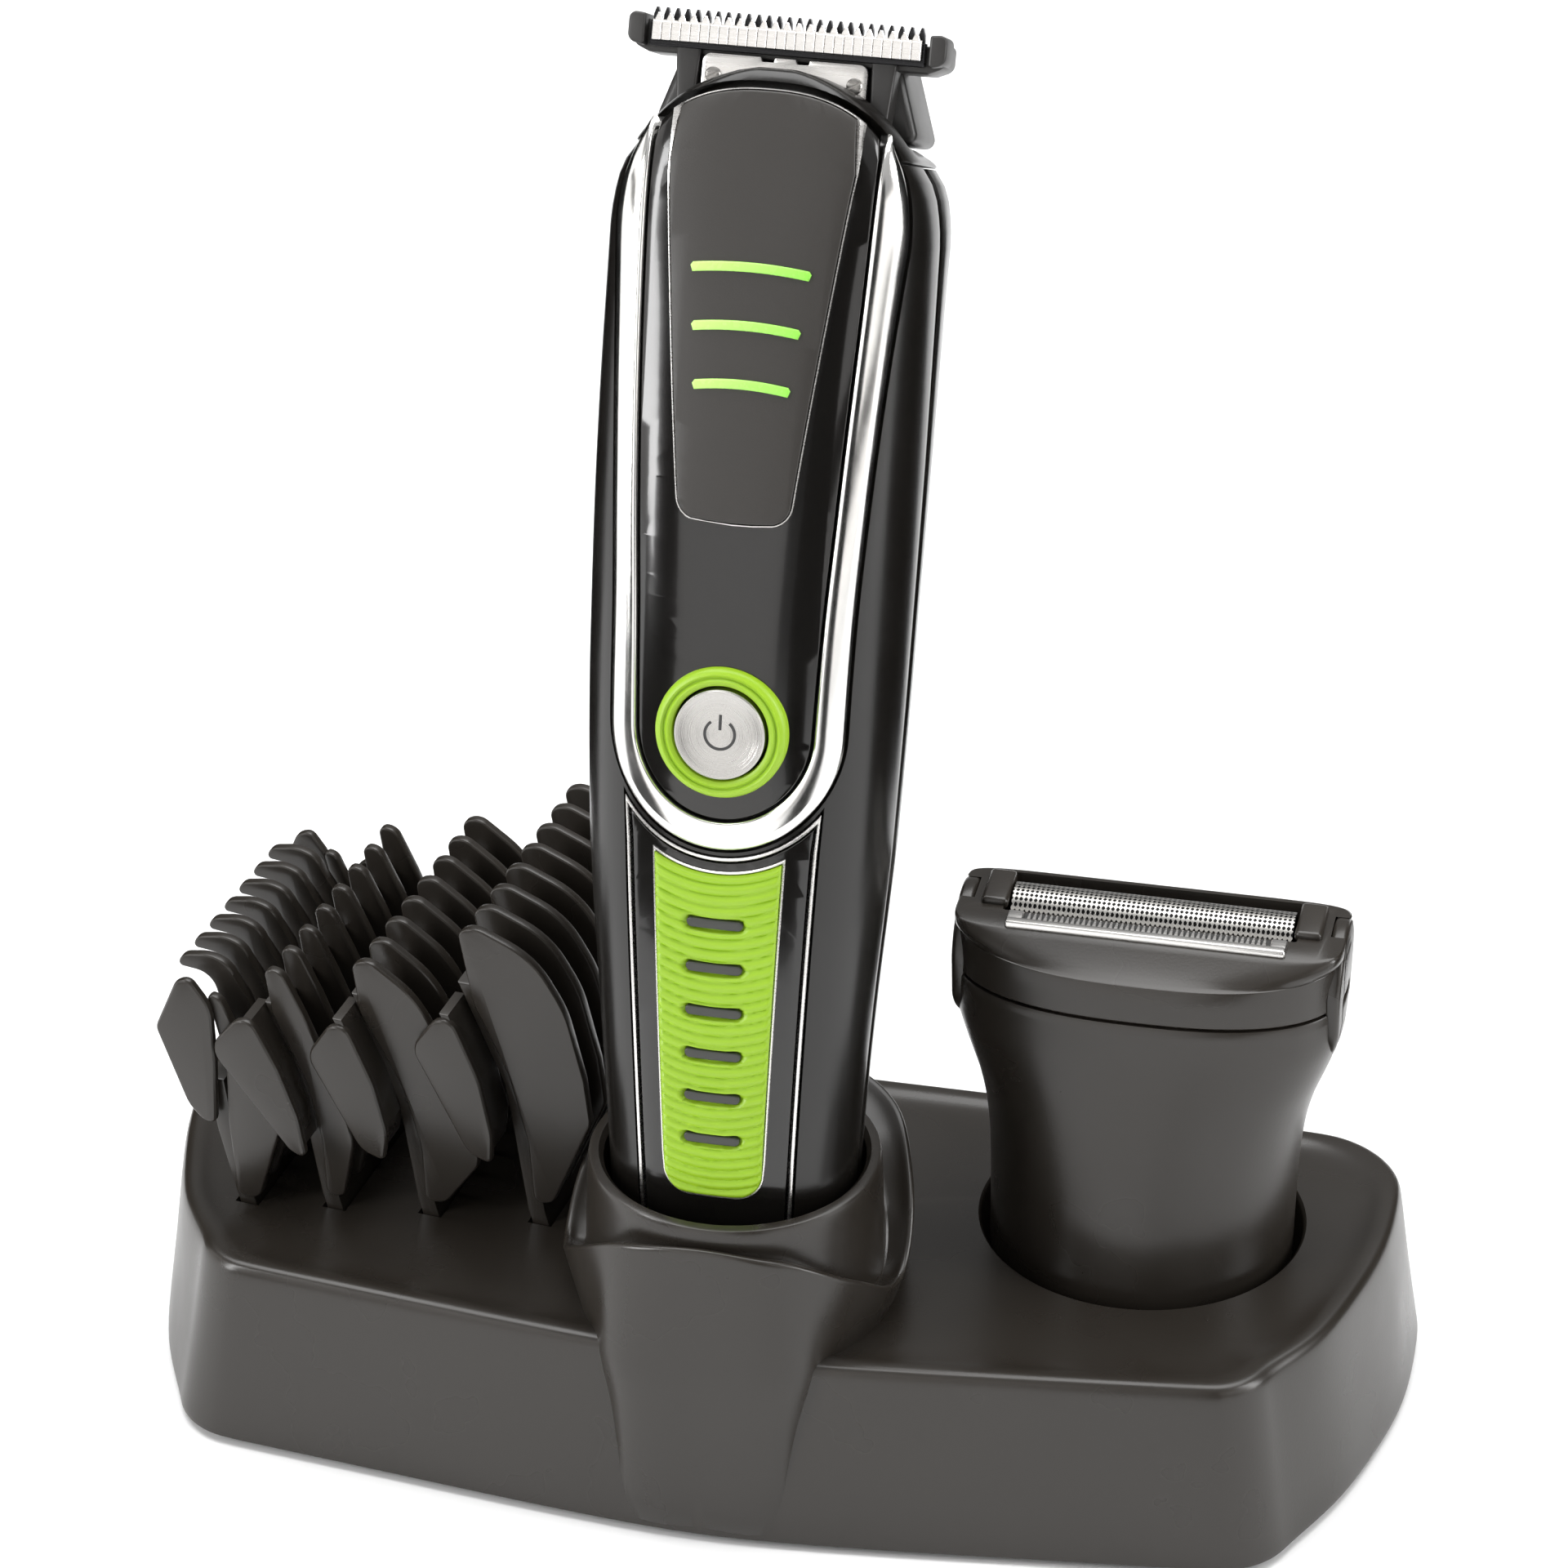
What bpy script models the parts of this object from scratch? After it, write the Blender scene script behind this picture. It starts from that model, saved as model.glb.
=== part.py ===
"""Cordless beard trimmer standing in its charging stand, with four guard combs and a foil shaver head.

Sizes are in millimetres and mesh_object() turns them into metres. X runs across the stand, -Y is the
front, Z is up, and the origin is on the floor under the middle of the stand.
"""

from math import acos, atan2, cos, degrees, pi, radians, sin, sqrt, tan

import bmesh
import bpy
import numpy as np
from mathutils import Matrix, Vector

MM = 0.001
GAP = 0.3  # clearance between neighbouring pieces

# Stand
STAND_DEPTH = 78.0
STAND_HALF_WIDTH = 88.0
RIM_HEIGHT = 27.5
FOOT_HEIGHT = 0.8
STAND_WALL = 2.2
DECK_DIP = 0.8
FRONT_Y = -STAND_DEPTH / 2
REAR_Y = STAND_DEPTH / 2
FRONT_SWEEP = 7.0  # how far the front corners lie behind the middle

# Tower that holds the trimmer
COLLAR_Y = -16.3
COLLAR_TOP = 48.0
COLLAR_OUTER = 19.3
COLLAR_INNER = 17.1
SEAT_FLOOR = 18.6

# Trimmer body: a straight seated length, then one long backward arc
BODY_START_Y = -17.2
BODY_START_Z = 20.0
SEATED_LENGTH = 33.0
SEATED_LEAN = radians(3.8)
BEND_RADIUS = 347.0
BODY_TOP = 170.0
DOME_START = 150.0
BODY_WALL = 2.3
# distance along the body, half width, depth to the front, depth to the rear
BODY_STATIONS = (
    (0.0, 14.4, 11.6, 11.2),
    (1.6, 15.6, 12.9, 12.4),
    (28.0, 16.5, 14.3, 13.4),
    (50.0, 17.9, 14.9, 14.6),
    (75.0, 19.7, 15.9, 16.4),
    (100.0, 20.5, 16.9, 17.8),
    (125.0, 20.8, 17.2, 18.4),
    (150.0, 20.6, 16.3, 17.6),
    (155.0, 20.0, 15.9, 16.9),
    (160.0, 17.9, 15.3, 15.9),
    (164.0, 14.7, 14.7, 14.8),
    (167.0, 10.9, 14.1, 13.8),
    (169.2, 5.6, 13.4, 12.8),
    (BODY_TOP, 2.2, 12.6, 12.0),
)
# where plates that follow the body may bend
FACE_ROWS = (28, 39, 50, 62.5, 75, 87.5, 100, 112.5, 125, 137.5, 150, 155, 160, 164, 167)
BLOCK_ROWS = tuple(SEATED_LENGTH + 0.4 + 9.7 * i for i in range(14))
FACE_COLUMNS = (-16, -12, -8, -4, 0, 4, 8, 12, 16)

# Front face of the trimmer, in millimetres across and along the body
BUTTON_S = 91.0
BUTTON_RADIUS = 5.8
RING_RADIUS = 8.4
TRIM_INNER = 11.1
TRIM_OUTER = 15.0
PANEL_BOTTOM_S = 116.5
ACCENT_S = (146.2, 139.4, 132.6)
ACCENT_LENGTHS = (15.0, 13.6, 12.2)
GRIP_BOTTOM_S = 28.6
GRIP_SLOTS = 6
GRIP_SLOT_S = 66.3
GRIP_SLOT_PITCH = 5.9

# T-shaped cutting head, in a flat frame fixed to the top of the body
HEAD_S = 165.0
BLADE_WIDTH = 40.0
MOVING_BLADE_WIDTH = 34.6
BLADE_STROKE = 0.8
FIXED_TEETH = 27
MOVING_TEETH = 23
PLATE_SCREW_S = 170.3
CRANK_PIN_RADIUS = 0.6

# Foil head
FOIL_X = 50.5
FOIL_Y = 10.5
FOIL_HOLE = 21.8
FOIL_HALF_WIDTH = 26.0

# Combs: every comb is turned with the left wing of the stand
COMB_TURN = radians(-6.6)
COMB_WIDTH = 41.0
PLATE = 1.6
COMB_SLOT_DEPTH = 6.0
COMB_LEAN = tan(radians(15.0))  # the tongues and slots lean, and the combs lift out along them


# ---------------------------------------------------------------- mesh helpers


def clear_scene():
    for obj in list(bpy.data.objects):
        bpy.data.objects.remove(obj)


def material(name, colour, roughness, metallic=0.0):
    made = bpy.data.materials.new(name)
    made.use_nodes = True
    shader = made.node_tree.nodes["Principled BSDF"]
    shader.inputs["Base Color"].default_value = (*colour, 1.0)
    shader.inputs["Roughness"].default_value = roughness
    shader.inputs["Metallic"].default_value = metallic
    return made


def mesh_object(name, bm, finish=None, helper=False):
    """Turns a bmesh in millimetres into an object in metres."""
    bmesh.ops.remove_doubles(bm, verts=bm.verts, dist=1e-4)
    bmesh.ops.recalc_face_normals(bm, faces=bm.faces)
    bmesh.ops.scale(bm, vec=(MM, MM, MM), verts=bm.verts)
    mesh = bpy.data.meshes.new(name)
    bm.to_mesh(mesh)
    bm.free()
    obj = bpy.data.objects.new(name, mesh)
    bpy.context.scene.collection.objects.link(obj)
    if finish:
        mesh.materials.append(finish)
    if helper:
        obj.hide_render = True
        obj.display_type = "WIRE"
    return obj


def boolean(obj, other, operation="DIFFERENCE"):
    """Applies the Boolean at once, so that the next one reads a plain mesh."""
    modifier = obj.modifiers.new(other.name, "BOOLEAN")
    modifier.operation = operation
    modifier.solver = "EXACT"
    modifier.object = other
    graph = bpy.context.evaluated_depsgraph_get()
    mesh = bpy.data.meshes.new_from_object(obj.evaluated_get(graph))
    obj.modifiers.clear()
    obj.data = mesh
    bpy.data.objects.remove(other)


def cut(obj, bm):
    boolean(obj, mesh_object("cutter", bm, helper=True))


def join(obj, bm):
    boolean(obj, mesh_object("addition", bm, helper=True), "UNION")


def loft(rings):
    """A closed solid through rings of equally many points, with a flat face on each end."""
    bm = bmesh.new()
    loops = [[bm.verts.new(point) for point in ring] for ring in rings]
    for lower, upper in zip(loops, loops[1:]):
        for i in range(len(lower)):
            j = (i + 1) % len(lower)
            bm.faces.new((lower[i], lower[j], upper[j], upper[i]))
    bm.faces.new(list(reversed(loops[0])))
    bm.faces.new(loops[-1])
    return bm


def prism(outline, low, high):
    """The outline in X and Y, extruded from Z low to Z high."""
    return loft([[(x, y, low) for x, y in outline], [(x, y, high) for x, y in outline]])


def box(low, high):
    corners = ((low[0], low[1]), (high[0], low[1]), (high[0], high[1]), (low[0], high[1]))
    return prism(corners, low[2], high[2])


def circle(radius, count=32, centre=(0.0, 0.0)):
    turns = (2 * pi * i / count for i in range(count))
    return [(centre[0] + radius * cos(t), centre[1] + radius * sin(t)) for t in turns]


def cylinder(radius, low, high, centre=(0.0, 0.0), count=24, top_radius=None):
    upper = circle(top_radius or radius, count, centre)
    return loft([[(x, y, low) for x, y in circle(radius, count, centre)], [(x, y, high) for x, y in upper]])


def arc(centre, radius, start, end, count):
    """Points on an arc, angles in degrees, both ends included."""
    angles = (radians(start + (end - start) * i / (count - 1)) for i in range(count))
    return [(centre[0] + radius * cos(a), centre[1] + radius * sin(a)) for a in angles]


def mirrored(right_side):
    """A full outline from its right half, which runs from the bottom middle to the top middle."""
    left_side = [(-x, s) for x, s in reversed(right_side) if abs(x) > 1e-6]
    return list(right_side) + left_side


def transformed(bm, matrix):
    bmesh.ops.transform(bm, matrix=matrix, verts=bm.verts)
    return bm


def sliced(bm, axis, places):
    """Adds edges across a flat shape at these places, so that it can bend there."""
    normal = Vector([1.0 if i == axis else 0.0 for i in range(3)])
    for place in places:
        geometry = bm.verts[:] + bm.edges[:] + bm.faces[:]
        bmesh.ops.bisect_plane(bm, geom=geometry, plane_co=normal * place, plane_no=normal, dist=0.01)
    return bm


# ---------------------------------------------------------------- trimmer body surface


def centreline(s):
    """Y, Z and lean of the body's middle line at the distance s from its bottom."""
    straight = min(s, SEATED_LENGTH)
    y = BODY_START_Y + straight * sin(SEATED_LEAN)
    z = BODY_START_Z + straight * cos(SEATED_LEAN)
    lean = SEATED_LEAN + (s - straight) / BEND_RADIUS
    y += BEND_RADIUS * (cos(SEATED_LEAN) - cos(lean))
    z += BEND_RADIUS * (sin(lean) - sin(SEATED_LEAN))
    return y, z, lean


def station(s, column):
    return float(np.interp(s, [row[0] for row in BODY_STATIONS], [row[column] for row in BODY_STATIONS]))


def section_power(s):
    """The section is close to an ellipse, and gets squarer where the dome narrows it."""
    return 2.4 + 0.15 * max(0.0, s - DOME_START)


def from_centreline(x, s, depth):
    """A point at depth in front of the body's middle line."""
    y, z, lean = centreline(s)
    return Vector((x, y - depth * cos(lean), z + depth * sin(lean)))


def face_depth(x, s):
    power = section_power(s)
    across = min(abs(x) / station(s, 1), 0.995)
    return station(s, 2) * (1 - across**power) ** (1 / power)


def on_face(x, s, height):
    """A point at height above the body's front face, measured square to it."""
    slope = (face_depth(x + 0.1, s) - face_depth(x - 0.1, s)) / 0.2
    length = sqrt(1 + slope * slope)
    return from_centreline(x - height * slope / length, s, face_depth(x, s) + height / length)


def face_slab(outline, low, high):
    """A plate that follows the front face, from its outline across and along the body."""
    bm = prism(outline, low, high)
    bmesh.ops.triangulate(bm, faces=[face for face in bm.faces if len(face.verts) > 4])
    sliced(bm, 1, FACE_ROWS)
    sliced(bm, 0, FACE_COLUMNS)
    for vertex in bm.verts:
        vertex.co = on_face(vertex.co.x, vertex.co.y, vertex.co.z)
    return bm


def section(s, inset=0.0, count=24):
    """One ring of the body's outside, or of a shape that lies inset inside it."""
    power = section_power(s)
    half_width = max(station(s, 1) - inset, 0.8)
    ring = []
    for i in range(count):
        turn = 2 * pi * i / count
        across = abs(cos(turn)) ** (2 / power) * (1 if cos(turn) > 0 else -1)
        deep = abs(sin(turn)) ** (2 / power) * (1 if sin(turn) > 0 else -1)
        reach = station(s, 2 if deep > 0 else 3) - inset
        ring.append(from_centreline(half_width * across, s, reach * deep))
    return ring


def body_solid(inset=0.0):
    rows = [row[0] for row in BODY_STATIONS]
    if inset:
        lowest, highest = 2.6, BODY_TOP - 3.4
        rows = [lowest] + [s for s in rows if lowest < s < highest] + [highest]
    return loft([section(s, inset) for s in rows])


def centreline_block(x_low, x_high, s_low, s_high, low, high):
    """A block that follows the body's middle line."""
    outline = ((x_low, s_low), (x_high, s_low), (x_high, s_high), (x_low, s_high))
    bm = sliced(prism(outline, low, high), 1, BLOCK_ROWS)
    for vertex in bm.verts:
        vertex.co = from_centreline(*vertex.co)
    return bm


# ---------------------------------------------------------------- outlines on the front face


def dome_edge(inset=0.0, count=7):
    """Right half of the line under the dome's edge, from its widest place to the top middle."""
    half_width, height, power = 18.7 - inset, 17.8 - inset, 2.6
    points = []
    for i in range(count):
        turn = pi / 2 * i / (count - 1)
        points.append((half_width * cos(turn) ** (2 / power), DOME_START + height * sin(turn) ** (2 / power)))
    return points


def trim_outside(grow=0.0):
    right = arc((0, BUTTON_S), TRIM_OUTER + grow, -90, 0, 9)
    return mirrored(right + [(15.9 + grow, 118.0)] + dome_edge(-grow))


def trim_inside(shrink, dome_shrink):
    """The fascia's outline inside the chrome trim."""
    right = arc((0, BUTTON_S), TRIM_INNER - shrink, -90, 0, 9)
    right += [(12.4 - shrink, 118.0), (13.9 - shrink, DOME_START)]
    right += [point for point in dome_edge(dome_shrink) if point[0] < 13.9 - shrink]
    return mirrored(right)


def bib_outline(grow=0.0):
    """The lower fascia, whose top follows the round end of the trim."""
    top_radius = TRIM_OUTER + 1.0 - grow
    edge = acos((12.6 + grow) / top_radius)
    right = [(0, 22.0 - grow), (9.9 + grow, 22.0 - grow), (11.2 + grow, 50.0)]
    right += arc((0, BUTTON_S), top_radius, -degrees(edge), -90, 7)
    return mirrored(right)


def insert_outline(grow=0.0):
    corner = 3.2
    low = GRIP_BOTTOM_S - grow
    half = 6.2 + grow
    right = [(0, low)] + arc((half - corner, low + corner), corner, -90, 0, 5)
    top_radius = TRIM_OUTER + 3.2 - grow
    edge = acos((8.1 + grow) / top_radius)
    right += arc((0, BUTTON_S), top_radius, -degrees(edge), -90, 5)
    return mirrored(right)


def panel_outline():
    """The matte panel: a shield with a round lower end and the dome's line on top."""
    low = PANEL_BOTTOM_S
    right = [(0, low), (4.6, low + 0.4), (6.9, low + 3.0), (10.6, DOME_START)]
    top = [point for point in dome_edge(0.8) if point[0] < 11.8]
    return mirrored(right + top)


# ---------------------------------------------------------------- stand


def stand_outline(inset):
    """Two swept wings meeting in front, flared ends and round corners; inset moves it inwards."""
    half, front, rear = STAND_HALF_WIDTH - inset, FRONT_Y + inset, REAR_Y - inset
    corner = 11.0 - 0.5 * inset
    right = [(0.0, front), (20.0, front + 1.6), (45.0, front + 4.6)]
    right += arc((66.0 - 0.6 * inset, front + FRONT_SWEEP + corner), corner, -83, -14, 6)
    right += [(half - 6.4, -14.0), (half - 1.6, 3.0), (half, 16.0)]
    right += arc((half - 13.0, rear - 13.0), 13.0, 8, 84, 6)
    right += [(40.0, rear), (0.0, rear)]
    return mirrored(right)


def stand_ring(inset, height):
    return [(x, y, height) for x, y in stand_outline(inset)]


def tower_radius(turn, height):
    """Reach of the tower from the collar's axis; turn 0 is the front, pi the rear."""
    lip = float(np.interp(turn, (0, 0.7, 1.4, 2.0, 2.6, pi), (20.8, 22.6, 22.8, 23.8, 28.0, 29.5)))
    root = float(np.interp(turn, (0, 0.55, 0.8, 1.2, 1.6, 2.2, pi), (22.2, 24.4, 21.8, 20.6, 20.4, 24.5, 28.0)))
    share = (height - RIM_HEIGHT) / (COLLAR_TOP - RIM_HEIGHT)
    return root + (lip - root) * min(max(share, 0.0), 1.0) ** 0.8


def lip_height(turn):
    return float(np.interp(turn, (0, 0.5, 1.0, 1.45, 1.9, 2.4, pi), (45.4, 44.0, 37.0, 31.5, 39.0, 44.5, 46.0)))


def tower_ring(share, shrink=0.0, count=32):
    """One ring of the tower's outside, share 0 at the deck and 1 at the lip."""
    ring = []
    for i in range(count):
        angle = 2 * pi * i / count
        turn = abs(atan2(sin(angle), cos(angle)))
        height = 22.0 + (lip_height(turn) - 22.0) * share
        reach = tower_radius(turn, height) - shrink
        ring.append((reach * sin(angle), COLLAR_Y - reach * cos(angle), height))
    return ring


def make_stand_housing(finish):
    top = RIM_HEIGHT
    rings = [stand_ring(0.0, FOOT_HEIGHT), stand_ring(3.6, top - 1.4), stand_ring(4.6, top)]
    rings += [stand_ring(7.0, top), stand_ring(11.0, top - DECK_DIP)]
    housing = mesh_object("stand_housing", loft(rings), finish)
    tower = loft([tower_ring(0.0), tower_ring(0.5), tower_ring(1.0), tower_ring(1.0, 1.6)])
    join(housing, tower)
    join(housing, cylinder(COLLAR_OUTER + 1.2, 24.0, COLLAR_TOP, (0, COLLAR_Y), 32, COLLAR_OUTER))
    stem = [(-13.0, FRONT_Y + 12), (-12.6, FRONT_Y + 1.6), (-9.5, FRONT_Y + 0.2), (0, FRONT_Y)]
    stem = stem + [(-x, y) for x, y in reversed(stem[:-1])]
    upper = [(x * 1.14, y + 1.8, top + 3) for x, y in stem]
    join(housing, loft([[(x, y, FOOT_HEIGHT) for x, y in stem], upper]))
    hollow = [stand_ring(STAND_WALL, -1.0), stand_ring(6.6, top - DECK_DIP - 2.6)]
    cavity = mesh_object("cavity", loft(hollow), helper=True)
    cut(cavity, cylinder(COLLAR_INNER + 1.6, SEAT_FLOOR - 2.2, 60.0, (0, COLLAR_Y), 32))
    cut(cavity, cylinder(FOIL_HOLE + 1.8, 6.0, 60.0, (FOIL_X, FOIL_Y), 32))
    for x, y in foot_places():
        cut(cavity, cylinder(4.0, 3.6, 60.0, (x, y), 16))
    boolean(housing, cavity)
    seat = cylinder(COLLAR_INNER - 0.6, SEAT_FLOOR, 60.0, (0, COLLAR_Y), 32, COLLAR_INNER + 0.3)
    cut(housing, seat)
    cut(housing, cylinder(FOIL_HOLE, 8.0, 60.0, (FOIL_X, FOIL_Y), 32))
    for _, slot in comb_slots():
        cut(housing, slot)
    for x in (-5.0, 5.0):
        cut(housing, cylinder(1.4, 10.0, 30.0, (x, COLLAR_Y), 12))
    cut(housing, box((-5.2, REAR_Y - 12, 6.5), (5.2, REAR_Y + 5, 13.5)))
    for x, y in foot_places():
        cut(housing, cylinder(1.3, 2.0, 12.0, (x, y), 12))


def foot_places():
    return ((-60.0, -18.0), (60.0, -18.0), (-70.0, 26.0), (70.0, 26.0))


def make_base_plate(finish):
    plate = mesh_object("stand_base_plate", prism(stand_outline(STAND_WALL + 1.2), 1.2, 3.2), finish)
    for x, y in foot_places():
        cut(plate, cylinder(5.3, 0.0, 2.2, (x, y), 20))
        cut(plate, cylinder(1.8, 0.0, 5.0, (x, y), 12))


def make_feet_and_screws(rubber, steel):
    for i, (x, y) in enumerate(foot_places(), 1):
        mesh_object(f"stand_foot_{i}", cylinder(5.0, 0.0, 0.9, (x, y), 20), rubber)
        screw = mesh_object(f"base_screw_{i}", cylinder(1.5, 1.2, 2.0, (x, y), 12), steel)
        join(screw, cylinder(0.95, 1.8, 9.5, (x, y), 10))


def make_stand_electrics(board, brass, black):
    mesh_object("stand_circuit_board", box((-14, 8, 8.2), (14, 26, 9.8)), board)
    for side, x in (("left", -5.0), ("right", 5.0)):
        pin = mesh_object(f"charge_pin_{side}", cylinder(1.1, 10.2, 19.6, (x, COLLAR_Y), 12), brass)
        join(pin, cylinder(2.2, 10.2, 11.6, (x, COLLAR_Y), 12))
    inlet = mesh_object("dc_socket", box((-4.9, 27.2, 6.8), (4.9, REAR_Y - 0.4, 13.2)), black)
    bore = transformed(cylinder(2.6, 0.0, 10.0, count=16), Matrix.Rotation(radians(-90), 4, "X"))
    cut(inlet, transformed(bore, Matrix.Translation((0, 30.5, 10.0))))


# ---------------------------------------------------------------- trimmer shells and trim


def button_bore(radius, low, high, count=24):
    return face_cylinder(0.0, BUTTON_S, radius, low, high, count)


def face_cylinder(x, s, radius, low, high, count=24):
    """A cylinder standing square on the face at x and s; heights are from the face."""
    lean = centreline(s)[2]
    turn = Matrix.Rotation(pi / 2 - lean, 4, "X")
    foot = Matrix.Translation(on_face(x, s, 0.0))
    return transformed(cylinder(radius, low, high, count=count), foot @ turn)


def make_shells(finish):
    shell = mesh_object("front_shell", body_solid(), finish)
    cut(shell, body_solid(BODY_WALL))
    cut(shell, centreline_block(-40, 40, -8, 4.6, -40, 40))
    cut(shell, centreline_block(-40, 40, 159.7, 182, -41, 41))
    rear = bpy.data.objects.new("rear_shell", shell.data.copy())
    bpy.context.scene.collection.objects.link(rear)
    cut(shell, centreline_block(-40, 40, -10, 185, -40, 0.017))
    cut(rear, centreline_block(-40, 40, -10, 185, -GAP - 0.013, 40))
    cut(shell, face_slab(trim_outside(GAP), -1.5, 4.0))
    cut(shell, face_slab(bib_outline(GAP), -1.5, 4.0))
    cut(shell, button_bore(BUTTON_RADIUS + 0.4, -8, 8))


def make_end_pieces(finish):
    cap = mesh_object("bottom_cap", body_solid(), finish)
    cut(cap, centreline_block(-40, 40, 4.3, 190, -40, 40))
    cut(cap, centreline_block(-13, 13, 2.4, 10, -9, 9))
    for x in (-5.0, 5.0):
        cut(cap, body_cylinder(x, 2.0, -4, 8, 0.0))
    collar = mesh_object("top_collar", body_solid(), finish)
    cut(collar, centreline_block(-41, 41, -10, 160.2, -42, 42))
    cut(collar, centreline_block(-40, 40, 161.8, 190, -40, 7.5))
    cut(collar, centreline_block(-9.4, 9.4, 151.3, 181, -8.4, 6.4))
    cut(collar, face_slab(trim_outside(GAP), -1.5, 4.0))


def body_cylinder(x, radius, s_low, s_high, depth, count=20):
    """A cylinder along the body's straight seated length."""
    frame = Matrix.Translation(from_centreline(x, 0.0, depth)) @ Matrix.Rotation(-SEATED_LEAN, 4, "X")
    return transformed(cylinder(radius, s_low, s_high, count=count), frame)


def make_front_trim(chrome, gloss, matte, accent):
    trim = mesh_object("chrome_trim", face_slab(trim_outside(), -1.1, 0.5), chrome)
    cut(trim, face_slab(trim_inside(-GAP, -2.0), -3.0, 4.0))
    fascia = mesh_object("upper_fascia", face_slab(trim_inside(0.0, 0.5), -1.1, -0.2), gloss)
    cut(fascia, button_bore(BUTTON_RADIUS + 0.4, -8, 8))
    mesh_object("upper_panel", face_slab(panel_outline(), 0.1, 0.6), matte)
    for i, (s, length) in enumerate(zip(ACCENT_S, ACCENT_LENGTHS), 1):
        half = length / 2
        outline = [(-half, s - 0.5), (0, s - 0.1), (half, s - 0.5), (half, s + 0.5), (0, s + 0.9), (-half, s + 0.5)]
        mesh_object(f"accent_bar_{i}", face_slab(outline, 0.9, 1.25), accent)


def make_grip(gloss, silver, lime):
    fascia = mesh_object("lower_fascia", face_slab(bib_outline(-0.9), -1.1, -0.2), gloss)
    for i in range(GRIP_SLOTS):
        s = GRIP_SLOT_S - i * GRIP_SLOT_PITCH
        join(fascia, face_slab([(-3.6, s - 0.65), (3.6, s - 0.65), (3.6, s + 0.65), (-3.6, s + 0.65)], -0.6, 0.7))
    frame = mesh_object("grip_frame", face_slab(bib_outline(), -1.1, 0.2), silver)
    cut(frame, face_slab(bib_outline(-0.6), -3.0, 4.0))
    insert = mesh_object("grip_insert", face_slab(insert_outline(), 0.1, 1.0), lime)
    for i in range(GRIP_SLOTS):
        s = GRIP_SLOT_S - i * GRIP_SLOT_PITCH
        cut(insert, face_slab([(-3.9, s - 0.95), (3.9, s - 0.95), (3.9, s + 0.95), (-3.9, s + 0.95)], -1, 3))


def make_button(lime, silver):
    ring = mesh_object("button_ring", button_bore(RING_RADIUS, 0.1, 1.2, 40), lime)
    cut(ring, button_bore(BUTTON_RADIUS + GAP, -3, 5, 32))
    button = mesh_object("power_button", button_bore(BUTTON_RADIUS, -1.4, 1.5, 32), silver)
    join(button, button_bore(1.6, -3.6, -1.0, 12))


# ---------------------------------------------------------------- trimmer internals


def make_internals(sleeve, board, black, steel, brass):
    battery = mesh_object("battery", body_cylinder(0, 7.1, 6.5, 56.0, -2.5, 20), sleeve)
    join(battery, body_cylinder(0, 2.8, 50.0, 57.2, -2.5, 12))
    mesh_object("circuit_board", centreline_block(-9, 9, 60, 104, 8.2, 9.6), board)
    mesh_object("tactile_switch", centreline_block(-3, 3, BUTTON_S - 3, BUTTON_S + 3, 9.9, 12.4), black)
    motor = mesh_object("motor", motor_cylinder(9.8, 112, 138), steel)
    cut(motor, motor_cylinder(1.4, 130, 150, 12))
    mesh_object("motor_shaft", motor_cylinder(1.0, 131, 146, 12), steel)
    cam = mesh_object("eccentric_cam", motor_cylinder(3.2, 146.3, 149.0, 16), black)
    join(cam, motor_cylinder(CRANK_PIN_RADIUS, 148.5, 154.0, 10, BLADE_STROKE))
    for side, x in (("left", -5.0), ("right", 5.0)):
        mesh_object(f"charge_contact_{side}", body_cylinder(x, 1.6, 0.9, 5.6, 0.0, 12), brass)


def motor_frame():
    """The motor's axis is straight, along the body's lean at the head."""
    lean = centreline(HEAD_S)[2]
    return Matrix.Translation(from_centreline(0, HEAD_S, 0)) @ Matrix.Rotation(-lean, 4, "X")


def motor_cylinder(radius, s_low, s_high, count=20, offset=0.0):
    made = cylinder(radius, s_low - HEAD_S, s_high - HEAD_S, (0, offset), count)
    return transformed(made, motor_frame())


# ---------------------------------------------------------------- cutting head


def head_part(outline, back, front):
    """A flat plate in the head's frame: outline across and along, thickness from back to front."""
    turned = prism([(x, s - HEAD_S) for x, s in outline], back, front)
    to_upright = Matrix.Rotation(pi / 2, 4, "X")
    return transformed(turned, motor_frame() @ to_upright)


def block(x_low, x_high, s_low, s_high):
    return [(x_low, s_low), (x_high, s_low), (x_high, s_high), (x_low, s_high)]


def comb_teeth(half_width, root, tip, count, share=0.5):
    """The toothed upper edge of a blade, right to left."""
    pitch = 2 * half_width / count
    points = []
    for i in range(count):
        right = half_width - i * pitch
        gap = pitch * (1 - share) / 2
        points += [(right - gap, root), (right - gap * 1.7, tip), (right - pitch + gap * 1.7, tip)]
        points += [(right - pitch + gap, root)]
    return points


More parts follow.
